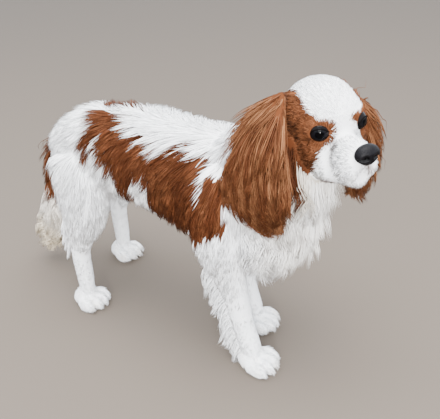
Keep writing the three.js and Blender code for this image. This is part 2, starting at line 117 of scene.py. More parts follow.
@dataclass(frozen=True)
class Body:
    """Named sizes of the trunk, neck, tail and legs, in metres, coat included."""

    trunk: tuple[Station, ...] = (
        Station((-0.185, 0.002, 0.238), 0.024, 0.024, 0.032),
        Station((-0.164, 0.002, 0.240), 0.049, 0.043, 0.054),
        Station((-0.110, 0.001, 0.246), 0.064, 0.060, 0.058),
        Station((-0.042, 0.000, 0.250), 0.066, 0.060, 0.054),
        Station((0.030, 0.000, 0.246), 0.068, 0.060, 0.064),
        Station((0.092, 0.000, 0.238), 0.070, 0.066, 0.078),
        Station((0.152, 0.000, 0.228), 0.066, 0.064, 0.078),
        Station((0.202, 0.005, 0.218), 0.048, 0.042, 0.056),
    )
    neck: tuple[Station, ...] = (
        Station((0.112, 0.000, 0.252), 0.058, 0.058, 0.062),
        Station((0.148, 0.001, 0.276), 0.058, 0.054, 0.066),
        Station((0.180, 0.003, 0.300), 0.053, 0.046, 0.062),
        Station((0.203, 0.006, 0.322), 0.038, 0.034, 0.042),
    )
    tail: tuple[Station, ...] = (
        Station((-0.196, 0, 0.246), 0.014, 0.014, 0.014),
        Station((-0.212, 0, 0.214), 0.015, 0.015, 0.015),
        Station((-0.222, 0, 0.170), 0.016, 0.018, 0.018),
        Station((-0.236, 0, 0.120), 0.017, 0.024, 0.020),
        Station((-0.256, 0, 0.076), 0.014, 0.024, 0.022),
        Station((-0.266, 0, 0.044), 0.008, 0.014, 0.014),
    )
    front: tuple[tuple[float, ...], ...] = (
        (0.290, -0.045, 0.008, 0.010, 0.016, 0.016),
        (0.250, -0.046, 0.022, 0.022, 0.034, 0.034),
        (0.200, -0.046, 0.020, 0.027, 0.036, 0.034),
        (0.158, -0.038, 0.012, 0.024, 0.026, 0.026),
        (0.112, -0.030, 0.004, 0.020, 0.020, 0.020),
        (0.066, -0.022, 0.001, 0.018, 0.018, 0.018),
        (0.032, -0.012, 0.000, 0.018, 0.018, 0.017),
        (0.014, -0.006, 0.000, 0.015, 0.014, 0.014),
    )
    hind: tuple[tuple[float, ...], ...] = (
        (0.256, -0.004, -0.018, 0.026, 0.044, 0.028),
        (0.216, 0.008, -0.008, 0.032, 0.050, 0.035),
        (0.172, 0.014, -0.003, 0.030, 0.038, 0.031),
        (0.132, 0.004, 0.000, 0.022, 0.026, 0.028),
        (0.094, -0.005, 0.000, 0.017, 0.018, 0.018),
        (0.050, -0.005, 0.000, 0.016, 0.017, 0.016),
        (0.014, -0.005, 0.000, 0.014, 0.015, 0.014),
    )
    ear_right: tuple[Station, ...] = (
        Station((0.175, -0.018, 0.369), 0.015, 0.009, 0.009),
        Station((0.169, -0.042, 0.346), 0.028, 0.013, 0.013),
        Station((0.171, -0.063, 0.316), 0.038, 0.015, 0.015),
        Station((0.174, -0.072, 0.286), 0.044, 0.016, 0.016),
        Station((0.184, -0.074, 0.262), 0.034, 0.015, 0.015),
        Station((0.194, -0.074, 0.248), 0.019, 0.010, 0.010),
    )
    ear_left: tuple[Station, ...] = (
        Station((0.224, 0.037, 0.362), 0.012, 0.008, 0.008),
        Station((0.233, 0.046, 0.344), 0.022, 0.012, 0.012),
        Station((0.238, 0.052, 0.318), 0.028, 0.013, 0.013),
        Station((0.239, 0.053, 0.290), 0.030, 0.014, 0.014),
        Station((0.237, 0.052, 0.264), 0.029, 0.013, 0.013),
        Station((0.235, 0.050, 0.246), 0.020, 0.008, 0.008),
    )
    ear_face: tuple[float, float] = (-96.0, 42.0)


@dataclass(frozen=True)
class Head:
    """Named sizes of the head, in its own frame before its scale."""

    at: tuple[float, float, float] = (0.2129, 0.0062, 0.3329)
    yaw: float = -35.2
    pitch: float = -0.4
    roll: float = 5.9
    scale: float = 0.95
    heart: tuple[float, float, float] = (0.010, 0.0, -0.004)
    blend: float = 0.0034
    skull: Egg = Egg((-0.011, 0, 0.007), (0.049, 0.045, 0.044))
    muzzle: Egg = Egg((0.046, 0, -0.014), (0.033, 0.018, 0.017))
    forehead: Egg = Egg((0.012, 0, 0.022), (0.024, 0.024, 0.0205))
    flew: Egg = Egg((0.0545, 0.012, -0.0275), (0.0215, 0.0128, 0.018))
    cheek: Egg = Egg((0.004, 0.019, -0.021), (0.030, 0.026, 0.030))
    jowl: Egg = Egg((0.022, 0.016, -0.0405), (0.031, 0.0165, 0.0165))
    brow: Egg = Egg((0.018, 0.0195, 0.0175), (0.0155, 0.014, 0.010))
    chin: Egg = Egg((0.052, 0, -0.0455), (0.020, 0.0135, 0.009))
    nose: Egg = Egg((0.077, 0, -0.008), (0.010, 0.014, 0.0115))
    eye: tuple[float, float, float] = (0.0236, 0.0223, 0.006)
    eye_size: float = 0.012
    eye_out: float = 30.0

    def turn(self) -> Matrix:
        """Gives the head's place in the dog's frame.

        Returns:
            The matrix from the head's frame to the dog's frame.
        """
        spin = (
            Matrix.Rotation(math.radians(self.yaw), 4, "Z")
            @ Matrix.Rotation(math.radians(self.pitch), 4, "Y")
            @ Matrix.Rotation(math.radians(self.roll), 4, "X")
        )
        return Matrix.Translation(self.at) @ spin @ Matrix.Scale(self.scale, 4)


@dataclass(frozen=True)
class Paw:
    """Named sizes of a paw with its short hair."""

    long: float = 0.056
    wide: float = 0.046
    high: float = 0.030
    toe: float = 0.012
    claw: float = 0.0065

    def toes(self) -> list[tuple[float, float]]:
        """Places the four toes.

        Returns:
            How far ahead of the paw's middle and across from it each one is.
        """
        return [(self.long * (0.2 if i in (1, 2) else 0.1), (i - 1.5) * self.wide * 0.235) for i in range(4)]


@dataclass(frozen=True)
class Tones:
    """Colours of the coat and bare parts, as linear light."""

    white: Colour = (0.87, 0.87, 0.88)
    cream: Colour = (0.70, 0.58, 0.41)
    chestnut: Colour = (0.074, 0.0225, 0.0087)
    ear: Colour = (0.077, 0.0250, 0.0098)
    face: Colour = (0.104, 0.0355, 0.0148)
    gold: Colour = (0.22, 0.10, 0.045)
    rim: Colour = (0.0016, 0.0011, 0.0010)
    lip: Colour = (0.11, 0.060, 0.045)
    leather: Colour = (0.0034, 0.0030, 0.0038)
    claw: Colour = (0.16, 0.12, 0.09)
    floor: Colour = (0.104, 0.085, 0.070)


BODY = Body()
HEAD = Head()
PAW = Paw()
TONES = Tones()
STANCES = {
    Region.FRONT_RIGHT: Stance(0.160, -0.043),
    Region.FRONT_LEFT: Stance(0.122, 0.030),
    Region.HIND_RIGHT: Stance(-0.124, -0.058),
    Region.HIND_LEFT: Stance(-0.165, 0.071),
}
PAW_OF = dict(zip(PAWS, STANCES.values()))


def within(region: Array, regions: Sequence[Region]) -> Array:
    """Tells which places belong to any of some regions.

    Args:
        region: Region numbers of the places.
        regions: The regions asked for.

    Returns:
        True for each place in one of them.
    """
    return np.isin(region, [r.value for r in regions])


def unit(v: Array) -> Array:
    """Scales vectors to length one.

    Args:
        v: Vectors in the last axis.

    Returns:
        The unit vectors.
    """
    return v / np.maximum(np.linalg.norm(v, axis=-1, keepdims=True), 1e-12)


def dot(a: Array, b: Array) -> Array:
    """Multiplies vectors pair by pair.

    Args:
        a: Vectors.
        b: Vectors.

    Returns:
        The scalar products, one per pair.
    """
    return np.sum(a * b, axis=-1)


def smooth(low: float, high: float, x: Array) -> Array:
    """Rises softly from 0 to 1.

    Args:
        low: Where the rise starts.
        high: Where it ends.
        x: Values to map.

    Returns:
        A share between 0 and 1 for each value.
    """
    s = np.clip((x - low) / (high - low), 0, 1)
    return s * s * (3 - 2 * s)


def grain(points: Array, scale: Sequence[float], seed: int) -> Array:
    """Gives soft repeatable noise.

    Args:
        points: Places.
        scale: Cells per metre on each axis.
        seed: Picks one of many patterns.

    Returns:
        A value between -1 and 1 for each place.
    """
    p = points * np.array(scale, float) + seed * 17.3
    cell = np.floor(p).astype(np.int64)
    part = p - cell
    part = part * part * (3 - 2 * part)
    total = np.zeros(p.shape[:-1])
    for corner in np.ndindex(2, 2, 2):
        c = cell + np.array(corner)
        h = (c[..., 0] * 73856093) ^ (c[..., 1] * 19349663) ^ (c[..., 2] * 83492791)
        h = (h ^ (h >> 13)) * 1274126177
        value = ((h ^ (h >> 16)) & 0xFFFF) / 32767.5 - 1
        total += value * np.prod(np.where(np.array(corner) == 1, part, 1 - part), axis=-1)
    return total


class Curve:
    """Smooth line through points, spaced evenly in its own parameter."""

    def __init__(self, points: Sequence[Sequence[float]]) -> None:
        """Fits one cubic to each step between points.

        Args:
            points: The points it passes through.
        """
        p = np.array(points, float)
        ends = np.vstack([2 * p[0] - p[1], p, 2 * p[-1] - p[-2]])
        self.steps = len(p) - 1
        rows = []
        for i in range(self.steps):
            a, b, c, d = ends[i : i + 4]
            gaps = [math.sqrt(np.linalg.norm(u - v)) for u, v in ((a, b), (b, c), (c, d))]
            mid = gaps[1] if gaps[1] > 1e-4 else 1.0
            first, last = (g if g > 1e-4 else mid for g in (gaps[0], gaps[2]))
            m0 = ((b - a) / first - (c - a) / (first + mid) + (c - b) / mid) * mid
            m1 = ((c - b) / mid - (d - b) / (mid + last) + (d - c) / last) * mid
            rows.append([b, m0, -3 * b + 3 * c - 2 * m0 - m1, 2 * b - 2 * c + m0 + m1])
        self.rows = np.array(rows)

    def at(self, t: Array) -> tuple[Array, Array]:
        """Finds points of the line.

        Args:
            t: Parameters from 0 to 1.

        Returns:
            The points, and the directions of travel there.
        """
        p = np.clip(np.asarray(t, float), 0, 1) * self.steps
        i = np.minimum(p.astype(int), self.steps - 1)
        w = (p - i)[..., None]
        k = self.rows[i]
        place = k[..., 0, :] + w * (k[..., 1, :] + w * (k[..., 2, :] + w * k[..., 3, :]))
        way = k[..., 1, :] + w * (2 * k[..., 2, :] + 3 * w * k[..., 3, :])
        return place, way


class Form:
    """Rounded body along a spine, with its own reach above and below."""

    SAMPLES = 48
    THINNEST = 0.003

    def __init__(
        self,
        stations: Sequence[Station],
        ref: Sequence[float] = (0, 0, 1),
        power: float = 2,
        cap: float = 0.12,
    ) -> None:
        """Stores the spine and sizes.

        Args:
            stations: Rings from one end to the other.
            ref: Direction that the upper reach points towards.
            power: Two is round, more is squarer.
            cap: Share of the length that rounds off at each end.
        """
        self.line = Curve([s.at for s in stations])
        self.size = Curve([(s.side, s.up, s.down) for s in stations])
        self.ref = np.array(ref, float)
        self.power = power
        self.cap = cap

    def axes(self, t: Array) -> tuple[Array, Array, Array, Array]:
        """Finds the middle and the directions at places along the spine.

        Args:
            t: Parameters from 0 to 1.

        Returns:
            Middles, and the directions along, to the side and up.
        """
        centre, way = self.line.at(t)
        along = unit(way)
        side = unit(np.cross(np.broadcast_to(self.ref, along.shape), along))
        return centre, along, side, np.cross(along, side)

    def point(self, t: Array, angle: Array, inset: float) -> Array:
        """Finds points of the surface.

        Args:
            t: Parameters along the spine.
            angle: Angles round it, from the side towards up.
            inset: How far under the coat's outline.

        Returns:
            The points.
        """
        centre, along, side, up = self.axes(t)
        size = self.size.at(t)[0]
        end = np.clip(np.minimum(t, 1 - t) / self.cap, 0, 1)
        round_off = np.sqrt(np.maximum(0, 1 - (1 - end) ** 2))
        c, s = np.cos(angle), np.sin(angle)
        bend = 2 / self.power
        tall = np.where(s > 0, size[..., 1], size[..., 2])
        across = np.sign(c) * np.abs(c) ** bend * np.maximum(size[..., 0] - inset, self.THINNEST) * round_off
        high = np.sign(s) * np.abs(s) ** bend * np.maximum(tall - inset, self.THINNEST) * round_off
        ends = np.where(t < 1e-6, inset, 0) - np.where(t > 1 - 1e-6, inset, 0)
        return centre + side * across[..., None] + up * high[..., None] + along * ends[..., None]

    def locate(self, points: Array, inset: float) -> tuple[Array, Array, Array, Array]:
        """Finds where points lie on the form.

        Args:
            points: Places in the dog's frame.
            inset: How far under the coat's outline the surface is.

        Returns:
            Parameters, angles, how far outside each point is, and the same with the last end left free.
        """
        ts = np.linspace(0, 1, self.SAMPLES + 1)
        centre, along, side, up = self.axes(ts)
        near = np.full(len(points), np.inf)
        pick = np.zeros(len(points), int)
        for k in range(len(ts)):
            gap = np.sum((points - centre[k]) ** 2, axis=1)
            better = gap < near
            near[better] = gap[better]
            pick[better] = k
        rel = points - centre[pick]
        x, z, y = dot(rel, side[pick]), dot(rel, up[pick]), dot(rel, along[pick])
        size = self.size.at(ts[pick])[0]
        wide = np.maximum(size[:, 0] - inset, self.THINNEST)
        tall = np.maximum(np.where(z > 0, size[:, 1], size[:, 2]) - inset, self.THINNEST)
        reach = (np.abs(x / wide) ** self.power + np.abs(z / tall) ** self.power) ** (1 / self.power)
        radial = (reach - 1) * np.minimum(wide, tall)
        past = np.maximum(np.where(pick == 0, -y, np.where(pick == self.SAMPLES, y, 0)), 0)
        outside = np.where(past > 0, np.hypot(np.maximum(radial, 0), past), radial)
        radial = np.where(pick == 0, outside, radial)
        return ts[pick], np.arctan2(z / tall, x / wide), outside, radial


class HeadForm:
    """Skull, cheeks, muzzle, lips and chin flowing into each other."""

    def __init__(self, head: Head, inset: float) -> None:
        """Stores the eggs that make up the head.

        Args:
            head: Its named sizes.
            inset: How far the skin is under the coat's outline.
        """
        self.head = head
        self.inset = inset
        self.eggs = [(head.skull, 0), (head.muzzle, 0), (head.forehead, 0), (head.chin, 0)]
        for egg in (head.flew, head.cheek, head.jowl, head.brow):
            self.eggs += [(egg, 1), (egg, -1)]
        self.matrix = np.array(head.turn())
        self.inverse = np.linalg.inv(self.matrix)

    def inner(self, points: Array) -> Array:
        """Takes points to the head's frame.

        Args:
            points: Places in the dog's frame.

        Returns:
            Places in the head's frame.
        """
        return points @ self.inverse[:3, :3].T + self.inverse[:3, 3]

    def outer(self, points: Array) -> Array:
        """Takes points to the dog's frame.

        Args:
            points: Places in the head's frame.

        Returns:
            Places in the dog's frame.
        """
        return points @ self.matrix[:3, :3].T + self.matrix[:3, 3]

    def outside(self, points: Array) -> Array:
        """Measures how far points lie outside the head.

        Args:
            points: Places in the head's frame.

        Returns:
            Distances, negative inside.
        """
        total = np.zeros(points.shape[:-1])
        for egg, sign in self.eggs:
            at = np.array([egg.at[0], sign * egg.at[1] if sign else 0.0, egg.at[2]])
            size = np.array(egg.size)
            away = (np.linalg.norm((points - at) / size, axis=-1) - 1) * size.min()
            total += np.exp(-away / self.head.blend)
        return -self.head.blend * np.log(np.maximum(total, 1e-30)) + self.inset

    def point(self, way: Array) -> Array:
        """Finds the surface in given directions from the heart of the head.

        Args:
            way: Unit directions in the head's frame.

        Returns:
            The points, in the head's frame.
        """
        heart = np.array(self.head.heart)
        outer = np.full(len(way), 0.11)
        inner = outer.copy()
        walking = np.ones(len(way), bool)
        while walking.any():
            inner[walking] -= 0.002
            free = self.outside(heart + way * inner[:, None]) > 0
            outer[walking & free] = inner[walking & free]
            walking &= free & (inner > 0.004)
        for _ in range(12):
            middle = (inner + outer) / 2
            free = self.outside(heart + way * middle[:, None]) > 0
            outer = np.where(free, middle, outer)
            inner = np.where(free, inner, middle)
        return heart + way * inner[:, None]

    def angles(self, points: Array) -> tuple[Array, Array]:
        """Finds the directions of points from the heart of the head.

        Args:
            points: Places in the head's frame.

        Returns:
            Angles from straight ahead, and round it from the left side upwards.
        """
        v = points - np.array(self.head.heart)
        return np.arccos(np.clip(unit(v)[:, 0], -1, 1)), np.arctan2(v[:, 2], v[:, 1])

    def spread(self, points: Array) -> tuple[Array, Array]:
        """Lays the face out flat, both of its sides on one plan.

        Args:
            points: Places in the head's frame.

        Returns:
            Degrees from straight ahead, outwards and upwards.
        """
        away = np.degrees(self.angles(points)[0])
        turned = np.arctan2(points[:, 2] - self.head.heart[2], np.abs(points[:, 1]))
        return away * np.cos(turned), away * np.sin(turned)


def leg_stations(rings: Sequence[Sequence[float]], stance: Stance, sign: int) -> list[Station]:
    """Places a leg over its paw.

    Args:
        rings: Height, place ahead and outwards, and sizes of each ring.
        stance: Where the paw stands.
        sign: One for the left side, minus one for the right.

    Returns:
        The leg's rings in the dog's frame.
    """
    return [
        Station((stance.x + ahead, stance.y + sign * out, up), side, front, back)
        for up, ahead, out, side, front, back in rings
    ]


class Anatomy:
    """All forms of the dog, with the depth of the coat over each."""

    def __init__(self, body: Body, head: Head) -> None:
        """Builds the forms.

        Args:
            body: Named sizes of the body.
            head: Named sizes of the head.
        """
        face = [math.radians(a) for a in body.ear_face]
        self.forms: dict[Region, Form] = {
            Region.TRUNK: Form(body.trunk, power=2.3, cap=0.07),
            Region.NECK: Form(body.neck, power=2.1, cap=0.1),
            Region.TAIL: Form(body.tail, ref=(1, 0, 0), cap=0.1),
            Region.EAR_RIGHT: Form(body.ear_right, ref=(math.cos(face[0]), math.sin(face[0]), 0), cap=0.16),
            Region.EAR_LEFT: Form(body.ear_left, ref=(math.cos(face[1]), math.sin(face[1]), 0), cap=0.16),
        }
        for region, stance in STANCES.items():
            rings = body.front if region in FRONT_LEGS else body.hind
            sign = 1 if region in (Region.FRONT_LEFT, Region.HIND_LEFT) else -1
            self.forms[region] = Form(leg_stations(rings, stance, sign), ref=(1, 0, 0), power=2.2, cap=0.08)
        self.insets = {region: 0.008 for region in self.forms}
        self.insets.update({Region.TAIL: 0.007, Region.EAR_RIGHT: 0.006, Region.EAR_LEFT: 0.006})
        self.insets.update({region: 0.0045 for region in FRONT_LEGS + HIND_LEGS})
        self.head = HeadForm(head, 0.0022)

    def locate(self, points: Array) -> tuple[Array, Array, Array]:
        """Sorts points by the form whose surface they lie on.

        Args:
            points: Places in the dog's frame.

        Returns:
            Region numbers, parameters and angles of the points.
        """
        best = np.full(len(points), np.inf)
        region = np.zeros(len(points), int)
        share = np.zeros(len(points))
        angle = np.zeros(len(points))
        candidates = []
        for name, form in self.forms.items():
            t, turn, gap, _ = form.locate(points, self.insets[name])
            candidates.append((name, t, turn, np.abs(gap)))
        inner = self.head.inner(points)
        theta, phi = self.head.angles(inner)
        gap = np.abs(self.head.outside(inner)) * 0.8 - 0.0015
        candidates.append((Region.HEAD, theta / math.pi, phi, gap))
        for paw, stance in PAW_OF.items():
            v = points - np.array([stance.x, stance.y, 0.012])
            far = np.linalg.norm(v / np.array([0.62 * PAW.long, 0.56 * PAW.wide, 0.6 * PAW.high]), axis=1)
            polar = np.arccos(np.clip(unit(v)[:, 2], -1, 1)) / math.pi
            candidates.append((paw, polar, np.arctan2(v[:, 1], v[:, 0]), np.maximum(far - 1, 0) * 0.03))
        for name, t, turn, gap in candidates:
            better = gap < best
            best[better] = gap[better]
            region[better] = name.value
            share[better] = t[better]
            angle[better] = turn[better]
        return region, share, angle


class Markings:
    """The white and chestnut pattern, the same on the skin and the coat.

    The outlines' corners were picked in the photo and carried onto the body along the camera's rays.
    Those of the body are metres ahead and degrees round its axis. Those of the cheeks are degrees outwards and
    upwards from straight ahead, and the mouth's are in the head's frame. Each spot of the face's painted light
    and shade is a middle and half sizes in the cheeks' degrees, and how much lighter it is.
    """

    AXIS = 0.245
    FAR_SIDE = (0.014, 5)
    BEHIND_HEAD = 0.034
    EYE_CORNER = (0.0395, 0.0163)
    SADDLE = (
        (-0.118, 76), (-0.092, 82), (-0.070, 86), (-0.060, 72), (-0.048, 76), (-0.046, 64), (-0.036, 53),
        (-0.024, 48), (-0.026, 44), (-0.002, 45), (-0.005, 37), (0.011, 43), (0.009, 32), (0.027, 41),
        (0.027, 29), (0.041, 39), (0.047, 55), (0.053, 34), (0.059, 61), (0.072, 38), (0.083, 26),
        (0.087, 33), (0.096, 14), (0.104, -1), (0.103, 6), (0.104, 21), (0.112, 28), (0.130, 27),
        (0.137, 8), (0.134, -2), (0.138, -13), (0.139, -18), (0.135, -23), (0.120, -25), (0.102, -34),
        (0.043, -60), (0.020, -50), (0.012, -26), (0.010, -7), (0.003, -3), (-0.015, -10), (-0.010, -26),
        (-0.026, -50), (-0.034, -30), (-0.036, -11), (-0.056, 1), (-0.068, 11), (-0.068, 27), (-0.080, 33),
        (-0.092, 43), (-0.108, 57),
    )
    MOUTH = (
        (0.080, 0.001, -0.021), (0.077, 0.0063, -0.0297), (0.076, 0.0083, -0.0354), (0.075, 0.003, -0.0415),
        (0.064, -0.0115, -0.0507), (0.054, -0.020, -0.0539), (0.040, -0.0266, -0.0561),
        (0.029, -0.030, -0.0567),
    )
    THIGH = ((-0.102, 26), (-0.086, 38), (-0.076, 31), (-0.070, 18), (-0.086, -3), (-0.096, 9))
    # Painted light and shade of the face: lighter brow and cheek, darker creases and shade round the eye and
    # towards the ear.
    FACE_LIGHT_AND_SHADE = (
        (58, 41, 16, 5, 0.45), (40, 41, 9, 6, 0.25), (46, 29, 16, 4, -0.5), (86, 3, 20, 3.5, -0.75),
        (52, -9, 15, 5, 0.3), (90, -30, 16, 14, -0.5), (72, -56, 14, 16, -0.7), (92, 22, 9, 16, -0.35),
        (27, 5, 5.5, 4.5, -1.7), (66, 4, 5, 4, -0.9), (70, -22, 9, 9, 0.25), (82, 62, 12, 12, 0.25),
    )
    CHEEK_RIGHT = (
        (66, 117), (62, 94), (62, 78), (61, 61), (53, 54), (44, 44), (28, 44), (19, 39), (16, 29), (19, 14),
        (24, 3), (33, -6), (48, -16), (54, -26), (54, -40), (51, -55), (57, -76), (84, -92), (120, -120),
        (180, -40), (180, 60), (120, 125),
    )
    CHEEK_LEFT = (
        (66, 110), (62, 94), (60, 76), (58, 58), (43, 41), (22, 44), (17, 41), (19, 33), (32, 21), (46, 4),
        (50, -12), (54, -30), (55, -53), (60, -71), (80, -76), (120, -90), (180, -40), (180, 60), (120, 125),
    )

    def __init__(self, anatomy: Anatomy) -> None:
        """Prepares the pattern.

        Args:
            anatomy: The forms it is drawn on.
        """
        self.anatomy = anatomy

    @staticmethod
    def inside(x: Array, y: Array, outline: Sequence[tuple[float, float]]) -> Array:
        """Tells which points lie in an outline.

        Args:
            x: First coordinates.
            y: Second coordinates.
            outline: Corners in order.

        Returns:
            True for each point inside.
        """
        found = np.zeros(x.shape, bool)
        for (x0, y0), (x1, y1) in zip(outline, outline[1:] + outline[:1]):
            crosses = (y0 > y) != (y1 > y)
            edge = (x1 - x0) * (y - y0) / ((y1 - y0) or 1e-12) + x0
            found ^= crosses & (x < edge)
        return found

    def chestnut(self, points: Array, region: Array, share: Array, angle: Array) -> Array:
        """Tells where the coat is chestnut.

        Args:
            points: Places in the dog's frame.
            region: Region numbers.
            share: Parameters along the forms.
            angle: Angles round the forms.

        Returns:
            True where it is chestnut.
        """
        x, y, z = points.T
        turned = np.stack([0.9 * x - 0.4 * z, y, 0.4 * x + 0.9 * z], axis=1)
        warp = grain(turned, (120, 60, 18), 1) * 5 + grain(turned, (260, 120, 40), 2) * 3
        round_it = np.degrees(np.arctan2(z - self.AXIS, np.abs(y))) + warp
        along = x + warp * 0.0005
        body = within(region, (Region.TRUNK, Region.NECK, *FRONT_LEGS, *HIND_LEGS))
        found = body & (y < 0) & self.inside(along, round_it, self.SADDLE)
        ahead, over = self.FAR_SIDE
        found |= body & (y > 0) & self.inside(along + ahead, round_it + over, self.SADDLE)
        found |= body & (y < -0.02) & self.inside(along, round_it, self.THIGH)
        rear = np.abs(angle + math.pi / 2) < 0.75
        found |= (region == Region.HIND_RIGHT.value) & rear & (z > 0.185) & (z < 0.262)
        found |= (region == Region.TAIL.value) & (share < 0.40) & (y < 0.012)
        found |= within(region, EARS)
        head = self.anatomy.head
        inner = head.inner(points)
        u, v = head.spread(inner)
        rough = grain(inner, (420, 420, 420), 3)
        u, v = u + rough * 2.2, v - rough * 2.2
        near = (inner[:, 1] < 0) & self.inside(u, v, self.CHEEK_RIGHT)
        far = (inner[:, 1] >= 0) & self.inside(u, v, self.CHEEK_LEFT)
        behind = (region == Region.NECK.value) & (head.outside(inner) < self.BEHIND_HEAD)
        found |= ((region == Region.HEAD.value) | behind) & (near | far)
        return found

    def lips(self, points: Array, region: Array) -> Array:
        """Finds the line of the mouth: the lips' own dark colour, with painted shade in the groove under the
        flews.

        Args:
            points: Places in the dog's frame.
            region: Region numbers.

        Returns:
            How dark each place is, from 0 to 1.
        """
        head = self.anatomy.head
        inner = head.inner(points)
        line = head.point(unit(Curve(self.MOUTH).at(np.linspace(0, 1, 50))[0] - np.array(head.head.heart)))
        away = np.min(np.linalg.norm(inner[:, None] - line[None], axis=2), axis=1)
        ends = 0.86 * smooth(0.068, 0.073, inner[:, 0]) + 0.8 * smooth(0.052, 0.040, inner[:, 0])
        dark = (0.12 + ends) * np.exp(-((away / 0.0042) ** 2))
        return dark * (region == Region.HEAD.value)

    def painted_light_and_shade(self, points: Array, region: Array) -> Array:
        """Finds painted light and shade of the face: brow, lids, cheek and the fold behind the eye.

        Args:
            points: Places in the dog's frame.
            region: Region numbers.

        Returns:
            What the colour is multiplied by, as a power of e.
        """
        head = self.anatomy.head
        u, v = head.spread(head.inner(points))
        total = np.zeros(len(points))
        for at_u, at_v, wide, high, amount in self.FACE_LIGHT_AND_SHADE:
            total += amount * np.exp(-(((u - at_u) / wide) ** 2) - ((v - at_v) / high) ** 2)
        return np.clip(total, -0.8, 0.6) * within(region, (Region.HEAD, Region.NECK))

    def tones(self, points: Array, region: Array, share: Array, angle: Array) -> Array:
        """Gives the coat's colour at places.

        Args:
            points: Places in the dog's frame.
            region: Region numbers.
            share: Parameters along the forms.
            angle: Angles round the forms.

        Returns:
            Linear colours.
        """
        colour = np.tile(np.array(TONES.white), (len(points), 1))
        cream = np.array(TONES.cream)
        z = points[:, 2]
        low = 1 - smooth(0.0, 0.04, z)
        x = points[:, 0]
        trunk = within(region, (Region.TRUNK, Region.NECK))
        # Cream on the chest and throat: partly the coat's own cream, partly painted shade under the head.
        chest = smooth(0.135, 0.2, x) * (1 - smooth(0.2, 0.31, z))
        throat = smooth(0.16, 0.2, x) * smooth(0.235, 0.275, z) * (1 - smooth(0.31, 0.34, z))
        tint = 0.22 * low * smooth(-0.2, 0.9, grain(points, (120, 120, 120), 8))
        tint += trunk * (0.28 * chest + 0.60 * throat)
        tint += (region == Region.TAIL.value) * (0.42 + 0.5 * smooth(0.42, 0.8, share))
        colour += (cream - colour) * np.clip(tint, 0, 1)[:, None]
        # Painted shade: the throat under the head is darkened.
        colour *= 1 - 0.25 * (trunk * throat)[:, None]
        # The mouth's line: the lips' own dark colour, with painted shade in the groove under the flews.
        colour += (np.array(TONES.lip) - colour) * self.lips(points, region)[:, None]
        brown = self.chestnut(points, region, share, angle)
        ears = within(region, EARS)
        head = region == Region.HEAD.value
        tone = np.where(ears[:, None], np.array(TONES.ear), np.array(TONES.chestnut))
        tone = np.where(head[:, None], np.array(TONES.face), tone)
        fringe = smooth(0.205, 0.165, z) * (region == Region.TRUNK.value)
        tone = tone + (np.array(TONES.gold) * 0.75 - tone) * fringe[:, None] * 0.7
        # Painted light and shade on the face and behind it: lighter brow and cheek, darker creases and shade
        # round the eye and towards the ear.
        tone = tone * np.exp(self.painted_light_and_shade(points, region))[:, None]
        from_corner = np.abs(self.anatomy.head.inner(points)[:, :2]) - self.EYE_CORNER
        stain = np.exp(-((np.linalg.norm(from_corner, axis=1) / 0.0042) ** 2))
        stain *= head * (z < self.anatomy.head.head.at[2] + 0.003)
        colour += (np.array(TONES.lip) * 0.3 - colour) * 0.9 * stain[:, None]
        return np.where(brown[:, None], tone, colour)


class Roots:
    """Places on the skin that hair can grow from."""

    def __init__(self, mesh: bpy.types.Mesh, anatomy: Anatomy, shift: Array) -> None:
        """Reads the skin's triangles.

        Args:
            mesh: The finished skin.
            anatomy: The forms under it.
            shift: From the dog's frame to the part's frame.
        """
        mesh.calc_loop_triangles()
        corners = np.empty(len(mesh.loop_triangles) * 3, np.int32)
        mesh.loop_triangles.foreach_get("vertices", corners)
        place = np.empty(len(mesh.vertices) * 3, np.float32)
        mesh.vertices.foreach_get("co", place)
        normal = np.empty(len(mesh.vertices) * 3, np.float32)
        mesh.vertices.foreach_get("normal", normal)
        self.corners = corners.reshape(-1, 3)
        self.place = place.reshape(-1, 3).astype(float) - shift
        self.normal = normal.reshape(-1, 3).astype(float)
        a, b, c = (self.place[self.corners[:, k]] for k in range(3))
        self.area = np.linalg.norm(np.cross(b - a, c - a), axis=1) / 2
        self.middle = (a + b + c) / 3
        self.region, self.share, self.angle = anatomy.locate(self.middle)
        self.anatomy = anatomy

    def sample(self, weight: Array, count: int, random: np.random.Generator) -> "Spots":
        """Scatters roots over the skin.

        Args:
            weight: How dense the hair is on each triangle.
            count: How many roots.
            random: Repeatable numbers.

        Returns:
            The roots.
        """
        odds = self.area * weight
        steps = np.cumsum(odds)
        if steps[-1] <= 0:
            count = 0
        ticks = (np.arange(count) + random.random(count)) / max(count, 1) * steps[-1]
        pick = np.searchsorted(steps, ticks).clip(0, len(odds) - 1)
        r1, r2 = np.sqrt(random.random(count)), random.random(count)
        mix = np.stack([1 - r1, r1 * (1 - r2), r1 * r2], axis=1)[..., None]
        tri = self.corners[pick]
        here = np.sum(self.place[tri] * mix, axis=1)
        out = unit(np.sum(self.normal[tri] * mix, axis=1))
        return Spots(here, out, *self.anatomy.locate(here))


@dataclass
class Spots:
    """Roots of hair: places, outward directions and where they are on the body."""

    here: Array
    out: Array
    region: Array
    share: Array
    angle: Array

    def cells(self) -> Array:
        """Places the roots on an unwrap of the forms, one cell for each region.

        Returns:
            Places from 0 to 1.
        """
        column = self.region % 4
        row = self.region // 4
        u = (column + 0.04 + 0.92 * np.clip(self.share, 0, 1)) / 4
        v = (row + 0.04 + 0.92 * (self.angle / (2 * math.pi) + 0.5)) / 4
        return np.stack([u, v], axis=1)


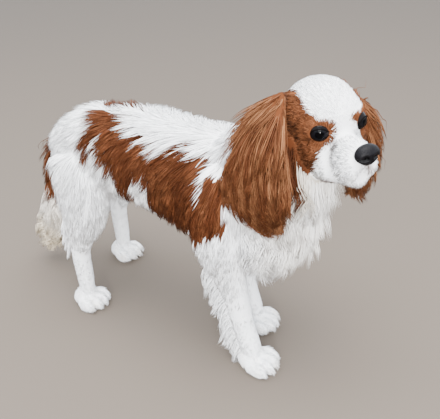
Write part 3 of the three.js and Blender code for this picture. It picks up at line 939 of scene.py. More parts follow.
class Lie:
    """Directions in which the coat lies."""

    def __init__(self, anatomy: Anatomy) -> None:
        """Stores the forms.

        Args:
            anatomy: The forms of the dog.
        """
        self.anatomy = anatomy

    def at(self, spots: Spots) -> Array:
        """Finds the lie of the coat.

        Args:
            spots: Roots of hair.

        Returns:
            Unit directions along the skin.
        """
        x, y = spots.here[:, 0], spots.here[:, 1]
        way = np.tile(np.array([-0.20, 0.0, -1.0]), (len(x), 1))
        front = smooth(0.07, 0.17, x)[:, None]
        way = way * (1 - front) + np.array([0.15, 0, -1.0]) * front
        rear = smooth(-0.06, -0.15, x)[:, None]
        way = way * (1 - rear) + np.array([-0.5, 0, -1.0]) * rear
        top = spots.out[:, 2].clip(0, 1)[:, None] ** 2
        away = np.tanh(y / 0.02)[:, None] * np.array([0, 0.9, 0])
        back = np.array([-0.45, 0, -0.3]) * (1 - rear) + np.array([-0.9, 0, -0.3]) * rear
        way = way * (1 - top) + (back + away) * top
        self._set(way, spots, (Region.NECK,), np.array([-0.55, 0, -0.85]))
        way[spots.region == Region.NECK.value] += away[spots.region == Region.NECK.value] * 0.6
        throat = (spots.region == Region.NECK.value) & (spots.out[:, 0] > 0.1)
        way[throat] = (0.1, 0, -1)
        for legs in (FRONT_LEGS, HIND_LEGS):
            self._set(way, spots, legs, np.array([-0.22, 0, -1.0]))
        self._set(way, spots, PAWS, np.array([0.9, 0, -0.45]))
        for region in (Region.TAIL, *EARS):
            mask = spots.region == region.value
            if mask.any():
                form, angle = self.anatomy.forms[region], spots.angle[mask]
                low = np.clip(spots.share[mask], 0.10, 0.84)
                way[mask] = unit(form.point(low + 0.08, angle, 0.006) - form.point(low, angle, 0.006))
        mask = spots.region == Region.HEAD.value
        if mask.any():
            head = self.anatomy.head
            inner = head.inner(spots.here[mask])
            tip = np.array([0.085, 0, -0.006])
            away = unit(inner - tip) + np.array([-0.25, 0, -0.2])
            away[:, 1] += np.sign(inner[:, 1]) * 0.3 * smooth(0.0, 0.03, np.abs(inner[:, 1]))
            side = np.sign(inner[:, 1:2]) * [0, 1, 0] + [1, 0, 1]
            from_eye = inner - np.array(head.head.eye) * side
            far = np.linalg.norm(from_eye, axis=1)
            away += unit(from_eye) * 2.2 * (1 - smooth(0.013, 0.021, far))[:, None]
            way[mask] = away @ head.matrix[:3, :3].T
        way = way - spots.out * dot(way, spots.out)[:, None]
        return unit(way)

    @staticmethod
    def _set(way: Array, spots: Spots, regions: Sequence[Region], value: Array) -> None:
        """Gives regions one direction.

        Args:
            way: Directions to change.
            spots: Roots of hair.
            regions: The regions.
            value: Their direction.
        """
        way[within(spots.region, regions)] = value


@dataclass(frozen=True)
class Pelt:
    """One kind of coat: where it grows, how much and how it falls."""

    name: str
    count: int
    length: tuple[float, float]
    width: float
    lift: float
    droop: float
    grows: Callable[[Roots], Array]
    rings: int = 3
    wave: float = 0.0
    waves: float = 1.0
    clump: float = 0.5
    per_clump: int = 14
    flat: float = 0.5
    pull: tuple[float, float, float] = (0.0, 0.0, -1.0)
    slot: str = "white_coat"
    light: float = 0.12
    proud: float = 0.002
    sunk: float = 0.0012


class Coat:
    """Grows solid tufts over the skin."""

    MOST_FACES = 190000
    OFF_FLOOR = 0.0006
    PRESSED = 0.02
    MUZZLE_FROM = 0.235

    def __init__(self, roots: Roots, markings: Markings, shift: Array, quick: bool) -> None:
        """Stores what the tufts grow from.

        Args:
            roots: The skin's places.
            markings: The pattern.
            shift: From the dog's frame to the part's frame.
            quick: True for a thin coat that renders fast.
        """
        self.roots = roots
        self.markings = markings
        self.shift = shift
        self.share = 0.35 if quick else 1.0
        self.lie = Lie(roots.anatomy)

    def paths(self, pelt: Pelt, spots: Spots, random: np.random.Generator) -> Array:
        """Bends each tuft from its root.

        Args:
            pelt: The kind of coat.
            spots: Roots of hair.
            random: Repeatable numbers.

        Returns:
            Points along each tuft.
        """
        n = len(spots.here)
        lie = self.lie.at(spots)
        aside = np.cross(lie, spots.out)
        stray = (random.random((n, 1)) - 0.5) * 0.35
        lie = unit(lie + aside * stray)
        lift = pelt.lift * (0.6 + 0.8 * random.random((n, 1)))
        on_tail = (spots.region == Region.TAIL.value)[:, None]
        lift = np.where(on_tail, lift * (0.35 + 0.65 * smooth(0.2, 0.55, spots.share)[:, None]), lift)
        muzzle = (spots.region == Region.HEAD.value) & (spots.here[:, 0] > self.MUZZLE_FROM)
        lift = np.where(muzzle[:, None], lift * 0.55, lift)
        first = unit(lie * np.cos(lift) + spots.out * np.sin(lift))
        fall = np.array(pelt.pull)
        last = unit(first * (1 - pelt.droop) + lie * 0.3 + fall * pelt.droop)
        inward = np.minimum(dot(last, spots.out), 0)[:, None]
        last = unit(last - spots.out * inward * 0.9)
        length = (pelt.length[0] + (pelt.length[1] - pelt.length[0]) * random.random(n))[:, None]
        hangs = within(spots.region, (*EARS, Region.TAIL))[:, None]
        in_ears = within(spots.region, EARS)[:, None]
        length = length * np.where(hangs & ~in_ears, 1.05 - 0.45 * spots.share[:, None] ** 2, 1)
        taper = (0.55 + 0.45 * smooth(0.02, 0.2, spots.share)) * (1.05 - 0.72 * spots.share**1.3)
        length = length * np.where(in_ears, taper[:, None], 1)
        stands = within(spots.region, FRONT_LEGS + HIND_LEGS)[:, None] & (pelt.lift < 0.3)
        length = length * np.where(stands, 1 - 0.66 * smooth(0.3, 0.72, spots.share)[:, None], 1)
        s = np.linspace(0, 1, pelt.rings + 1)[None, :, None]
        start = spots.here - spots.out * pelt.sunk
        turn = first[:, None] * s + (last - first)[:, None] * s**2 / 2
        path = start[:, None] + turn * length[:, None]
        if pelt.wave:
            phase = random.random((n, 1, 1)) * 0.7 + grain(spots.here, (60, 60, 30), 9)[:, None, None] * 3
            wavy = np.where(hangs, smooth(0.15, 0.75, spots.share)[:, None], 1)[:, None]
            swing = np.sin(s * 2 * math.pi * pelt.waves + phase) * pelt.wave * s * wavy
            path = path + aside[:, None] * swing
        return path

    def tamed(self, pelt: Pelt, spots: Spots, path: Array) -> Array:
        """Keeps tufts close to the dog's true outline.

        Args:
            pelt: The kind of coat.
            spots: Roots of hair.
            path: Points along each tuft.

        Returns:
            The points, pressed down where they stood too far out.
        """
        for k in range(1, path.shape[1]):
            far = np.full(len(path), np.inf)
            for region, form in self.roots.anatomy.forms.items():
                mine = spots.region == region.value
                if region not in EARS:
                    mine = ~within(spots.region, EARS)
                if mine.any():
                    past_ends = 3 if region in (*EARS, Region.TAIL) else 2
                    far[mine] = np.minimum(far[mine], form.locate(path[mine, k], 0.0)[past_ends])
            beyond = far - pelt.proud * k / (path.shape[1] - 1)
            path[:, k] -= spots.out * np.clip(beyond, 0, self.PRESSED)[:, None]
        return path

    def clumped(self, pelt: Pelt, spots: Spots, path: Array) -> tuple[Array, Array]:
        """Draws tufts together into locks.

        Args:
            pelt: The kind of coat.
            spots: Roots of hair.
            path: Points along each tuft.

        Returns:
            The points drawn together, and the lock each tuft belongs to.
        """
        n = len(path)
        lead = max(1, n // pelt.per_clump)
        tree = KDTree(lead)
        stride = np.linspace(0, n - 1, lead).astype(int)
        for k, i in enumerate(stride):
            tree.insert(spots.here[i], k)
        tree.balance()
        owner = np.fromiter((tree.find(p)[1] for p in spots.here), int, n)
        guide = path[stride[owner]]
        s = np.linspace(0, 1, path.shape[1])[None, :, None]
        return path + (guide - path) * pelt.clump * s**1.4, owner

    def grow(self, pelt: Pelt, seed: int) -> list[bpy.types.Object]:
        """Makes the pieces of one kind of coat.

        Args:
            pelt: The kind of coat.
            seed: Start of its repeatable numbers.

        Returns:
            Its pieces, each under the limit of faces.
        """
        random = np.random.default_rng(seed)
        spots = self.roots.sample(pelt.grows(self.roots), int(pelt.count * self.share), random)
        n = len(spots.here)
        order = np.lexsort((spots.here[:, 2], spots.region))
        spots = Spots(*(getattr(spots, k)[order] for k in ("here", "out", "region", "share", "angle")))
        path, owner = self.clumped(pelt, spots, self.paths(pelt, spots, random))
        if pelt.proud:
            path = self.tamed(pelt, spots, path)
        path[..., 2] = np.maximum(path[..., 2], self.OFF_FLOOR)
        colour = self.shades(pelt, spots, path, owner, random)
        verts, faces = self.tubes(pelt, spots, path, random)
        rings = pelt.rings
        per = 3 * rings + 1
        places = self.patches(spots, rings)
        tints = np.repeat(colour, [3] * rings + [1], axis=1)
        most = self.MOST_FACES // (6 * (rings - 1) + 4)
        made = []
        for k, start in enumerate(range(0, n, most)):
            stop = min(n, start + most)
            block = verts[start:stop].reshape(-1, 3) + self.shift
            index = faces[None] + (np.arange(stop - start) * per)[:, None, None]
            made.append(
                joined_tufts(
                    f"coat_{pelt.name}_{k + 1}",
                    block,
                    index.reshape(-1, 3),
                    places[start:stop].reshape(-1, 2),
                    tints[start:stop].reshape(-1, 3),
                )
            )
        for piece in made:
            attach(piece, "root")
        LOG.info("%s: %d tufts in %d pieces", pelt.name, n, len(made))
        return made

    def tubes(
        self, pelt: Pelt, spots: Spots, path: Array, random: np.random.Generator
    ) -> tuple[Array, Array]:
        """Wraps three-sided closed tubes round the paths.

        Args:
            pelt: The kind of coat.
            spots: Roots of hair.
            path: Points along each tuft.
            random: Repeatable numbers.

        Returns:
            Corners of each tuft, and the triangles of one.
        """
        n, rings = len(path), pelt.rings
        way = unit(np.diff(path, axis=1))
        out = spots.out[:, None]
        across = unit(np.cross(way, out))
        flat = np.cross(across, way)
        s = np.linspace(0, 1, rings + 1)[:-1]
        swell = (0.7 + 0.3 * np.sin(math.pi * np.minimum(1, s + 0.35))) * (1 - s) ** 0.45
        width = pelt.width * (0.7 + 0.6 * random.random((n, 1, 1))) * swell[None, :, None]
        corners = []
        for degrees in (90, 210, 330):
            c, q = math.cos(math.radians(degrees)), math.sin(math.radians(degrees))
            corners.append(path[:, :-1] + across * width * c + flat * width * pelt.flat * q)
        ring = np.stack(corners, axis=2).reshape(n, rings * 3, 3)
        verts = np.concatenate([ring, path[:, -1:]], axis=1)
        faces = [(0, 2, 1)]
        for r in range(rings - 1):
            for k in range(3):
                a, b = r * 3 + k, r * 3 + (k + 1) % 3
                faces += [(a, b, b + 3), (a, b + 3, a + 3)]
        tip = rings * 3
        faces += [(tip - 3 + k, tip - 3 + (k + 1) % 3, tip) for k in range(3)]
        return verts, np.array(faces)

    def shades(
        self, pelt: Pelt, spots: Spots, path: Array, owner: Array, random: np.random.Generator
    ) -> Array:
        """Colours the tufts from root to tip, with painted shade that darkens each tuft towards its root.

        Args:
            pelt: The kind of coat.
            spots: Roots of hair.
            path: Points along each tuft.
            owner: The lock of each tuft.
            random: Repeatable numbers.

        Returns:
            Linear colours for each ring and the tip.
        """
        shows = path[:, 1:].mean(axis=1)
        near = shows + random.normal(0, 0.0011, shows.shape) * (spots.region == Region.HEAD.value)[:, None]
        tone = self.markings.tones(near, spots.region, spots.share, spots.angle)
        brown = tone[:, 0] < 0.3
        lock = random.normal(0, 1, owner.max() + 1 if len(owner) else 1)[owner]
        own = random.normal(0, 1, len(tone))
        ears = within(spots.region, EARS)
        streak = grain(shows, (160, 160, 26), 5) + 0.6 * grain(shows, (340, 340, 60), 6)
        long = 0.7 * grain(shows, (170, 170, 7), 5) + 0.8 * grain(shows, (400, 400, 8), 6)
        streak = np.where(ears, long, streak)
        spread = np.where(brown, 1.0, pelt.light)
        face = spots.region == Region.HEAD.value
        streak = np.where(face, 0.45 * grain(shows, (500, 500, 500), 7) + 0.35 * streak, streak)
        tone = tone * np.exp(spread * (0.08 * lock + (0.12 + 0.1 * face) * own + 0.28 * streak))[:, None]
        ends = 0.6 * smooth(0.7, 0.95, spots.share) + 0.35 * smooth(0.25, 0.05, spots.share)
        golden = 0.12 + 0.5 * streak + 0.12 * own + 0.3 * np.where(ears, ends, 0)
        golden = np.clip(golden * (0.35 + 0.65 * ears), 0, 0.75)[:, None]
        tone = tone + (np.array(TONES.gold) - tone) * golden * brown[:, None]
        s = np.linspace(0, 1, path.shape[1])[None, :, None]
        # Painted shade: each tuft is darker at its root, where the coat shades it, and lighter towards its
        # tip.
        dark = np.where(brown[:, None, None], 0.72 + 0.5 * s, 0.93 + 0.1 * s)
        lift = np.where(ears[:, None, None], 0.86 + 0.22 * s, dark)
        return np.clip(tone[:, None] * lift, 0, 0.93)

    @staticmethod
    def patches(spots: Spots, rings: int) -> Array:
        """Gives each tuft its own small patch of the bake's map.

        Args:
            spots: Roots of hair.
            rings: Rings of a tuft.

        Returns:
            A place on the map for each corner.
        """
        base = spots.cells()
        along = np.repeat(np.arange(rings) / rings, 3)
        round_it = np.tile(np.array([0.0, 0.5, 1.0]), rings)
        own = np.stack([np.append(round_it, 0.5), np.append(along, 1.0)], axis=1) * PATCH
        return base[:, None] + own[None]


def linked(name: str, data: bpy.types.ID) -> bpy.types.Object:
    """Adds an object to the scene.

    Args:
        name: Its name.
        data: Its mesh, lamp or camera.

    Returns:
        The object.
    """
    made = bpy.data.objects.new(name, data)
    bpy.context.scene.collection.objects.link(made)
    return made


def paint(mesh: bpy.types.Mesh, colours: Array) -> None:
    """Stores a colour for each corner of a mesh.

    Args:
        mesh: The mesh.
        colours: Linear colours in the order of its corners.
    """
    layer = mesh.attributes.new(COLOUR_NAME, "FLOAT_COLOR", "POINT")
    layer.data.foreach_set("color", np.c_[colours, np.ones(len(colours))].astype(np.float32).ravel())


def finished(name: str, work: bmesh.types.BMesh, material: bpy.types.Material) -> bpy.types.Object:
    """Turns a mesh in the making into an object of the scene.

    Args:
        name: Its name.
        work: Its mesh, which is freed.
        material: Its finish.

    Returns:
        The object.
    """
    mesh = bpy.data.meshes.new(name)
    work.to_mesh(mesh)
    work.free()
    mesh.materials.append(material)
    mesh.polygons.foreach_set("use_smooth", np.ones(len(mesh.polygons), bool))
    return linked(name, mesh)


def joined_tufts(name: str, verts: Array, faces: Array, places: Array, tints: Array) -> bpy.types.Object:
    """Makes one piece from the arrays of many tufts.

    Args:
        name: The piece's name.
        verts: Corners.
        faces: Triangles.
        places: A place on the bake's map for each corner.
        tints: A linear colour for each corner.

    Returns:
        The piece.
    """
    mesh = bpy.data.meshes.new(name)
    mesh.vertices.add(len(verts))
    mesh.vertices.foreach_set("co", verts.astype(np.float32).ravel())
    mesh.loops.add(faces.size)
    mesh.loops.foreach_set("vertex_index", faces.astype(np.int32).ravel())
    mesh.polygons.add(len(faces))
    mesh.polygons.foreach_set("loop_start", np.arange(0, faces.size, 3, dtype=np.int32))
    mesh.polygons.foreach_set("use_smooth", np.ones(len(faces), bool))
    layer = mesh.uv_layers.new(name=UV_NAME)
    layer.data.foreach_set("uv", places[faces.ravel()].astype(np.float32).ravel())
    paint(mesh, tints)
    mesh.update(calc_edges=True)
    mesh.materials.append(Finishes.coat())
    return linked(name, mesh)


class Finishes:
    """Materials of the model, each made once."""

    made: dict[str, bpy.types.Material] = {}

    @classmethod
    def new(
        cls, name: str, roughness: float, specular: float = 0.5
    ) -> tuple[bpy.types.Material, bpy.types.Node]:
        """Starts a material.

        Args:
            name: Its name.
            roughness: How dull it is.
            specular: How much it reflects.

        Returns:
            The material and its shader.
        """
        material = bpy.data.materials.new(name)
        material.use_nodes = True
        shader = material.node_tree.nodes["Principled BSDF"]
        shader.inputs["Roughness"].default_value = roughness
        shader.inputs["Specular IOR Level"].default_value = specular
        cls.made[name] = material
        return material, shader

    @classmethod
    def tinted(cls, name: str, roughness: float, specular: float) -> bpy.types.Material:
        """Gives a material whose colour is stored on the mesh.

        Args:
            name: Its name.
            roughness: How dull it is.
            specular: How much it reflects.

        Returns:
            The material.
        """
        if name in cls.made:
            return cls.made[name]
        material, shader = cls.new(name, roughness, specular)
        tree = material.node_tree
        tint = tree.nodes.new("ShaderNodeAttribute")
        tint.attribute_name = COLOUR_NAME
        tree.links.new(tint.outputs["Color"], shader.inputs["Base Color"])
        return material

    @classmethod
    def coat(cls) -> bpy.types.Material:
        """Gives the hair's material.

        Returns:
            The material.
        """
        return cls.tinted("silky hair", 0.6, 0.05)

    @classmethod
    def hide(cls) -> bpy.types.Material:
        """Gives the skin's material.

        Returns:
            The material.
        """
        return cls.tinted("skin under the coat", 0.9, 0.03)

    @classmethod
    def plain(cls, name: str, colour: Colour, roughness: float, specular: float = 0.5) -> bpy.types.Material:
        """Gives a material of one colour.

        Args:
            name: Its name.
            colour: Its linear colour.
            roughness: How dull it is.
            specular: How much it reflects.

        Returns:
            The material.
        """
        if name in cls.made:
            return cls.made[name]
        material, shader = cls.new(name, roughness, specular)
        shader.inputs["Base Color"].default_value = (*colour, 1)
        return material


class Hide:
    """The skin: one closed surface under the coat."""

    VOXEL = 0.0023

    def __init__(self, anatomy: Anatomy, shift: Array) -> None:
        """Stores the forms.

        Args:
            anatomy: The forms of the dog.
            shift: From the dog's frame to the part's frame.
        """
        self.anatomy = anatomy
        self.shift = shift
        self.work = bmesh.new()

    def ball(self, around: int, rings: int, place: Callable[[Array], Array]) -> None:
        """Adds a sphere whose corners are moved.

        Args:
            around: Faces round it.
            rings: Faces from end to end.
            place: Takes unit directions to places in the dog's frame.
        """
        made = bmesh.ops.create_uvsphere(self.work, u_segments=around, v_segments=rings, radius=1.0)
        ways = np.array([v.co[:] for v in made["verts"]])
        for vert, spot in zip(made["verts"], place(unit(ways))):
            vert.co = spot

    def egg(self, at: Sequence[float], size: Sequence[float]) -> None:
        """Adds an egg in the dog's frame.

        Args:
            at: Its middle.
            size: Its half sizes.
        """
        self.ball(20, 14, lambda way: np.array(at) + way * np.array(size))

    def build(self, markings: Markings) -> bpy.types.Object:
        """Makes the skin.

        Args:
            markings: The pattern.

        Returns:
            The skin piece.
        """
        for region, form in self.anatomy.forms.items():
            inset = self.anatomy.insets[region]
            self.ball(
                32,
                28,
                lambda way, form=form, inset=inset: form.point(
                    (1 - way[:, 2]) / 2, np.arctan2(way[:, 1], way[:, 0]), inset
                ),
            )
        head = self.anatomy.head
        self.ball(80, 60, lambda way: head.outer(head.point(way[:, [2, 0, 1]])))
        for sign in (1, -1):
            self.lid(sign)
        for stance in STANCES.values():
            self.paw(stance)
        bmesh.ops.recalc_face_normals(self.work, faces=self.work.faces[:])
        mesh = bpy.data.meshes.new("skin")
        self.work.to_mesh(mesh)
        self.work.free()
        piece = linked("skin", mesh)
        merge = piece.modifiers.new("one surface", "REMESH")
        merge.mode = "VOXEL"
        merge.voxel_size = self.VOXEL
        soften = piece.modifiers.new("soften", "SMOOTH")
        soften.factor = 0.5
        soften.iterations = 5
        graph = bpy.context.evaluated_depsgraph_get()
        final = bpy.data.meshes.new_from_object(piece.evaluated_get(graph))
        piece.modifiers.clear()
        piece.data = final
        bpy.data.meshes.remove(mesh)
        self.finish(piece, markings)
        return piece

    def lid(self, sign: int) -> None:
        """Adds the soft ring of the lids round one eye.

        Args:
            sign: One for the left side, minus one for the right.
        """
        head = self.anatomy.head
        size = head.head
        turn = np.array(Matrix.Rotation(math.radians(size.eye_out) * sign, 3, "Z"))
        middle = np.array(size.eye) * [1, sign, 1]
        for k in range(28):
            a = 2 * math.pi * k / 28
            wide, high = (0.0103, 0.0082) if sign > 0 else (0.0114, 0.0092)
            at = turn @ np.array([0.0056, wide * math.cos(a), high * math.sin(a)]) + middle
            thick = 0.0027 if math.sin(a) > 0 else 0.0023
            self.ball(10, 8, lambda way, at=at, thick=thick: head.outer(at + way * thick))

    def paw(self, stance: Stance) -> None:
        """Adds a paw of a pad and four toes.

        Args:
            stance: Where it stands.
        """
        under = 0.0012
        self.egg(
            (stance.x - 0.010, stance.y, PAW.high * 0.42),
            (PAW.long * 0.34 - under, PAW.wide * 0.40 - under, PAW.high * 0.5),
        )
        for ahead, across in PAW.toes():
            self.egg(
                (stance.x + ahead, stance.y + across * 1.08, PAW.toe * 0.86),
                (PAW.toe * 1.3, PAW.toe * 0.45, PAW.toe * 0.88),
            )

    def finish(self, piece: bpy.types.Object, markings: Markings) -> None:
        """Sets the skin's place and colours.

        Args:
            piece: The skin piece.
            markings: The pattern.
        """
        mesh = piece.data
        place = np.empty(len(mesh.vertices) * 3, np.float32)
        mesh.vertices.foreach_get("co", place)
        place = place.reshape(-1, 3).astype(float)
        place[:, 2] = np.maximum(place[:, 2], 0.0004)
        region, share, angle = self.anatomy.locate(place)
        tint = markings.tones(place, region, share, angle) * 0.92
        mesh.vertices.foreach_set("co", (place + self.shift).astype(np.float32).ravel())
        paint(mesh, tint)
        mesh.materials.clear()
        mesh.materials.append(Finishes.hide())
        mesh.polygons.foreach_set("use_smooth", np.ones(len(mesh.polygons), bool))
        mesh.update()


class Face:
    """Eyes, lids and nose."""

    # Pupil, iris and dark edge by nearness to the gaze; the bluish stop at 0.90 is a painted reflection of the
    # sky.
    IRIS_WITH_REFLECTION = (
        (0.62, (0.0016, 0.0012, 0.0012)),
        (0.70, (0.0050, 0.0036, 0.0034)),
        (0.90, (0.0036, 0.0036, 0.0046)),
        (0.93, (0.0006, 0.0006, 0.0008)),
    )

    def __init__(self, anatomy: Anatomy, shift: Array) -> None:
        """Stores the head.

        Args:
            anatomy: The forms of the dog.
            shift: From the dog's frame to the part's frame.
        """
        self.head = anatomy.head
        self.size = anatomy.head.head
        self.shift = shift

    def piece(self, name: str, work: bmesh.types.BMesh, material: bpy.types.Material) -> bpy.types.Object:
        """Turns a head-frame mesh into a piece.

        Args:
            name: The piece's name.
            work: Its mesh, in the head's frame.
            material: Its finish.

        Returns:
            The piece.
        """
        for vert in work.verts:
            vert.co = Vector(self.head.outer(np.array([vert.co[:]]))[0] + self.shift)
        bmesh.ops.recalc_face_normals(work, faces=work.faces[:])
        made = finished(name, work, material)
        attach(made, "root")
        return made

    def eye(self, sign: int) -> None:
        """Makes one eye with its dark rim.

        Args:
            sign: One for the left side, minus one for the right.
        """
        side = "left" if sign > 0 else "right"
        turn = Matrix.Rotation(math.radians(self.size.eye_out) * sign, 4, "Z")
        middle = Vector((self.size.eye[0], sign * self.size.eye[1], self.size.eye[2]))
        work = bmesh.new()
        spin = Matrix.Translation(middle) @ turn @ Matrix.Rotation(math.radians(90), 4, "Y")
        bmesh.ops.create_uvsphere(
            work, u_segments=40, v_segments=28, radius=self.size.eye_size, matrix=spin
        )
        gaze = self.head.matrix[:3, :3] @ np.array(turn.to_3x3() @ Vector((1, 0, 0)))
        centre = self.head.outer(np.array([middle[:]]))[0] + self.shift
        eye = self.piece(f"eye_{side}_wet", work, self.iris(side, centre, unit(gaze)))
        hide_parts(f"eye_{side}")
        self.lids(sign, side, Matrix.Translation(middle) @ turn)

    def iris(self, side: str, centre: Array, gaze: Array) -> bpy.types.Material:
        """Makes the eye's material: pupil, iris with a painted bluish reflection, and dark edge.

        Args:
            side: The eye's side.
            centre: Its middle, in the part's frame.
            gaze: Where it looks.

        Returns:
            The material.
        """
        material, shader = Finishes.new(f"eye {side}", 0.05, 0.06)
        tree = material.node_tree
        place = tree.nodes.new("ShaderNodeTexCoord")
        rel = tree.nodes.new("ShaderNodeVectorMath")
        rel.operation = "SUBTRACT"
        rel.inputs[1].default_value = tuple(centre)
        tree.links.new(place.outputs["Object"], rel.inputs[0])
        way = tree.nodes.new("ShaderNodeVectorMath")
        way.operation = "NORMALIZE"
        tree.links.new(rel.outputs["Vector"], way.inputs[0])
        ahead = tree.nodes.new("ShaderNodeVectorMath")
        ahead.operation = "DOT_PRODUCT"
        ahead.inputs[1].default_value = tuple(gaze)
        tree.links.new(way.outputs["Vector"], ahead.inputs[0])
        ramp = tree.nodes.new("ShaderNodeValToRGB")
        stops = ramp.color_ramp.elements
        for k, (at, colour) in enumerate(self.IRIS_WITH_REFLECTION):
            stop = stops[k] if k < len(stops) else stops.new(at)
            stop.position = at
            stop.color = (*colour, 1)
        tree.links.new(ahead.outputs["Value"], ramp.inputs["Fac"])
        tree.links.new(ramp.outputs["Color"], shader.inputs["Base Color"])
        return material

    def lids(self, sign: int, side: str, place: Matrix) -> None:
        """Makes the dark rim and the lids round one eye.

        Args:
            sign: One for the left side, minus one for the right.
            side: Its name.
            place: From the eye's frame to the head's.
        """
        work = bmesh.new()
        around, tube = 48, 10
        rows = []
        for i in range(around):
            a = 2 * math.pi * i / around
            c, s = math.cos(a), math.sin(a)
            inner_corner = max(0.0, -c * sign) ** 6
            narrow = 0.86 if sign > 0 else 1.0
            wide = (0.0090 + 0.0024 * inner_corner) * narrow
            high = (0.0058 if s > 0 else 0.0062) * (1 - 0.25 * inner_corner) * narrow
            y, z = wide * c, high * s - 0.0014 * inner_corner
            reach = max(1e-6, self.size.eye_size**2 - y * y - z * z)
            x = math.sqrt(reach) if reach > 1e-5 else 0.003
            thick = 0.0010 if s > 0 else 0.0008
            row = []
            for k in range(tube):
                b = 2 * math.pi * k / tube
                grow = 1 + thick * math.cos(b) / max(wide, high)
                spot = Vector((x + thick * math.sin(b) * 0.9, y * grow, z * grow))
                row.append(work.verts.new(place @ spot))
            rows.append(row)
        for i in range(around):
            for k in range(tube):
                j, m = (i + 1) % around, (k + 1) % tube
                work.faces.new((rows[i][k], rows[j][k], rows[j][m], rows[i][m]))
        lid = self.piece(f"lids_{side}", work, Finishes.plain("eye rim", TONES.rim, 0.7, 0.03))

    def nose(self) -> None:
        """Makes the nose leather with its nostrils, with painted shade in the nostrils and the middle groove.
        """
        work = bmesh.new()
        bmesh.ops.create_uvsphere(work, u_segments=64, v_segments=48, radius=1.0)
        egg = self.size.nose
        ways = unit(np.array([v.co[:] for v in work.verts]))
        x, y, z = ways.T
        side = np.abs(y)
        hole = np.exp(-(((side - 0.44) / 0.19) ** 2) - ((z + 0.05) / 0.24) ** 2) * (x > 0)
        slant = z + 0.26 - (side - 0.6) * 0.25
        slit = np.exp(-(((side - 0.78) / 0.22) ** 2) - (slant / 0.11) ** 2) * (x > 0)
        groove = np.exp(-((side / 0.07) ** 2)) * (z < 0.3) * (x > 0)
        dent = 1 - 0.5 * hole - 0.3 * slit - 0.1 * groove
        shape = ways * np.array(egg.size) * dent[:, None]
        shape[:, 1] *= 1 - 0.36 * np.clip(-z, 0, 1) ** 1.5 + 0.05 * np.clip(z, 0, 1)
        shape[:, 0] *= 1 - 0.16 * np.clip(-z, 0, 1)
        for vert, spot in zip(work.verts, shape + np.array(egg.at)):
            vert.co = spot
        # Painted shade: the nostrils and the middle groove are darkened as hollows.
        hollow_shade = np.clip(hole * 1.3 + slit + 0.5 * groove, 0, 1)[:, None]
        leather = np.array(TONES.leather) * (1 - 0.92 * hollow_shade)
        material = Finishes.tinted("nose leather", 0.42, 0.08)
        tree = material.node_tree
        shader = tree.nodes["Principled BSDF"]
        place = tree.nodes.new("ShaderNodeTexCoord")
        grain = tree.nodes.new("ShaderNodeTexVoronoi")
        grain.inputs["Scale"].default_value = 900
        tree.links.new(place.outputs["Object"], grain.inputs["Vector"])
        bump = tree.nodes.new("ShaderNodeBump")
        bump.inputs["Strength"].default_value = 0.5
        bump.inputs["Distance"].default_value = 0.0004
        tree.links.new(grain.outputs["Distance"], bump.inputs["Height"])
        tree.links.new(bump.outputs["Normal"], shader.inputs["Normal"])
        nose = self.piece("nose_leather", work, material)
        paint(nose.data, leather)
        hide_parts("nose")


class Claws:
    """Claws between the hairs of the toes."""

    def __init__(self, shift: Array) -> None:
        """Stores the place.

        Args:
            shift: From the dog's frame to the part's frame.
        """
        self.shift = shift

    def build(self) -> bpy.types.Object:
        """Makes all claws as one piece.

        Returns:
            The piece.
        """
        work = bmesh.new()
        for stance in STANCES.values():
            for ahead, across in PAW.toes():
                at = Vector((stance.x + ahead + PAW.toe * 1.16, stance.y + across, PAW.toe * 0.5))
                turn = Matrix.Rotation(math.radians(112), 4, "Y")
                bmesh.ops.create_cone(
                    work,
                    cap_ends=True,
                    segments=10,
                    radius1=0.0015,
                    radius2=0.0005,
                    depth=PAW.claw,
                    matrix=Matrix.Translation(at + Vector(self.shift)) @ turn,
                )
        piece = finished("claws", work, Finishes.plain("claw", TONES.claw, 0.5, 0.1))
        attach(piece, "root")
        return piece


@dataclass(frozen=True)
class Camera:
    """The photo's camera, in the dog's frame."""

    at: tuple[float, float, float] = (0.42648, -0.52398, 0.55)
    heading: float = -33.5
    down: float = 29.5
    roll: float = 2.0
    lens: float = 46.23

    def build(self, shift: Array) -> None:
        """Makes it the scene's camera.

        Args:
            shift: From the dog's frame to the part's frame.
        """
        heading, down, roll = (math.radians(a) for a in (self.heading, self.down, self.roll))
        right = Vector((math.cos(heading), -math.sin(heading), 0))
        level = math.cos(down)
        ahead = Vector((math.sin(heading) * level, math.cos(heading) * level, -math.sin(down)))
        up = right.cross(ahead)
        x = right * math.cos(roll) - up * math.sin(roll)
        y = right * math.sin(roll) + up * math.cos(roll)
        data = bpy.data.cameras.new("camera")
        data.sensor_width = 36
        data.sensor_fit = "HORIZONTAL"
        data.lens = self.lens
        data.clip_start = 0.01
        camera = linked("camera", data)
        turn = Matrix((x, y, -ahead)).transposed().to_4x4()
        camera.matrix_world = Matrix.Translation(Vector(self.at) + Vector(shift)) @ turn
        bpy.context.scene.camera = camera


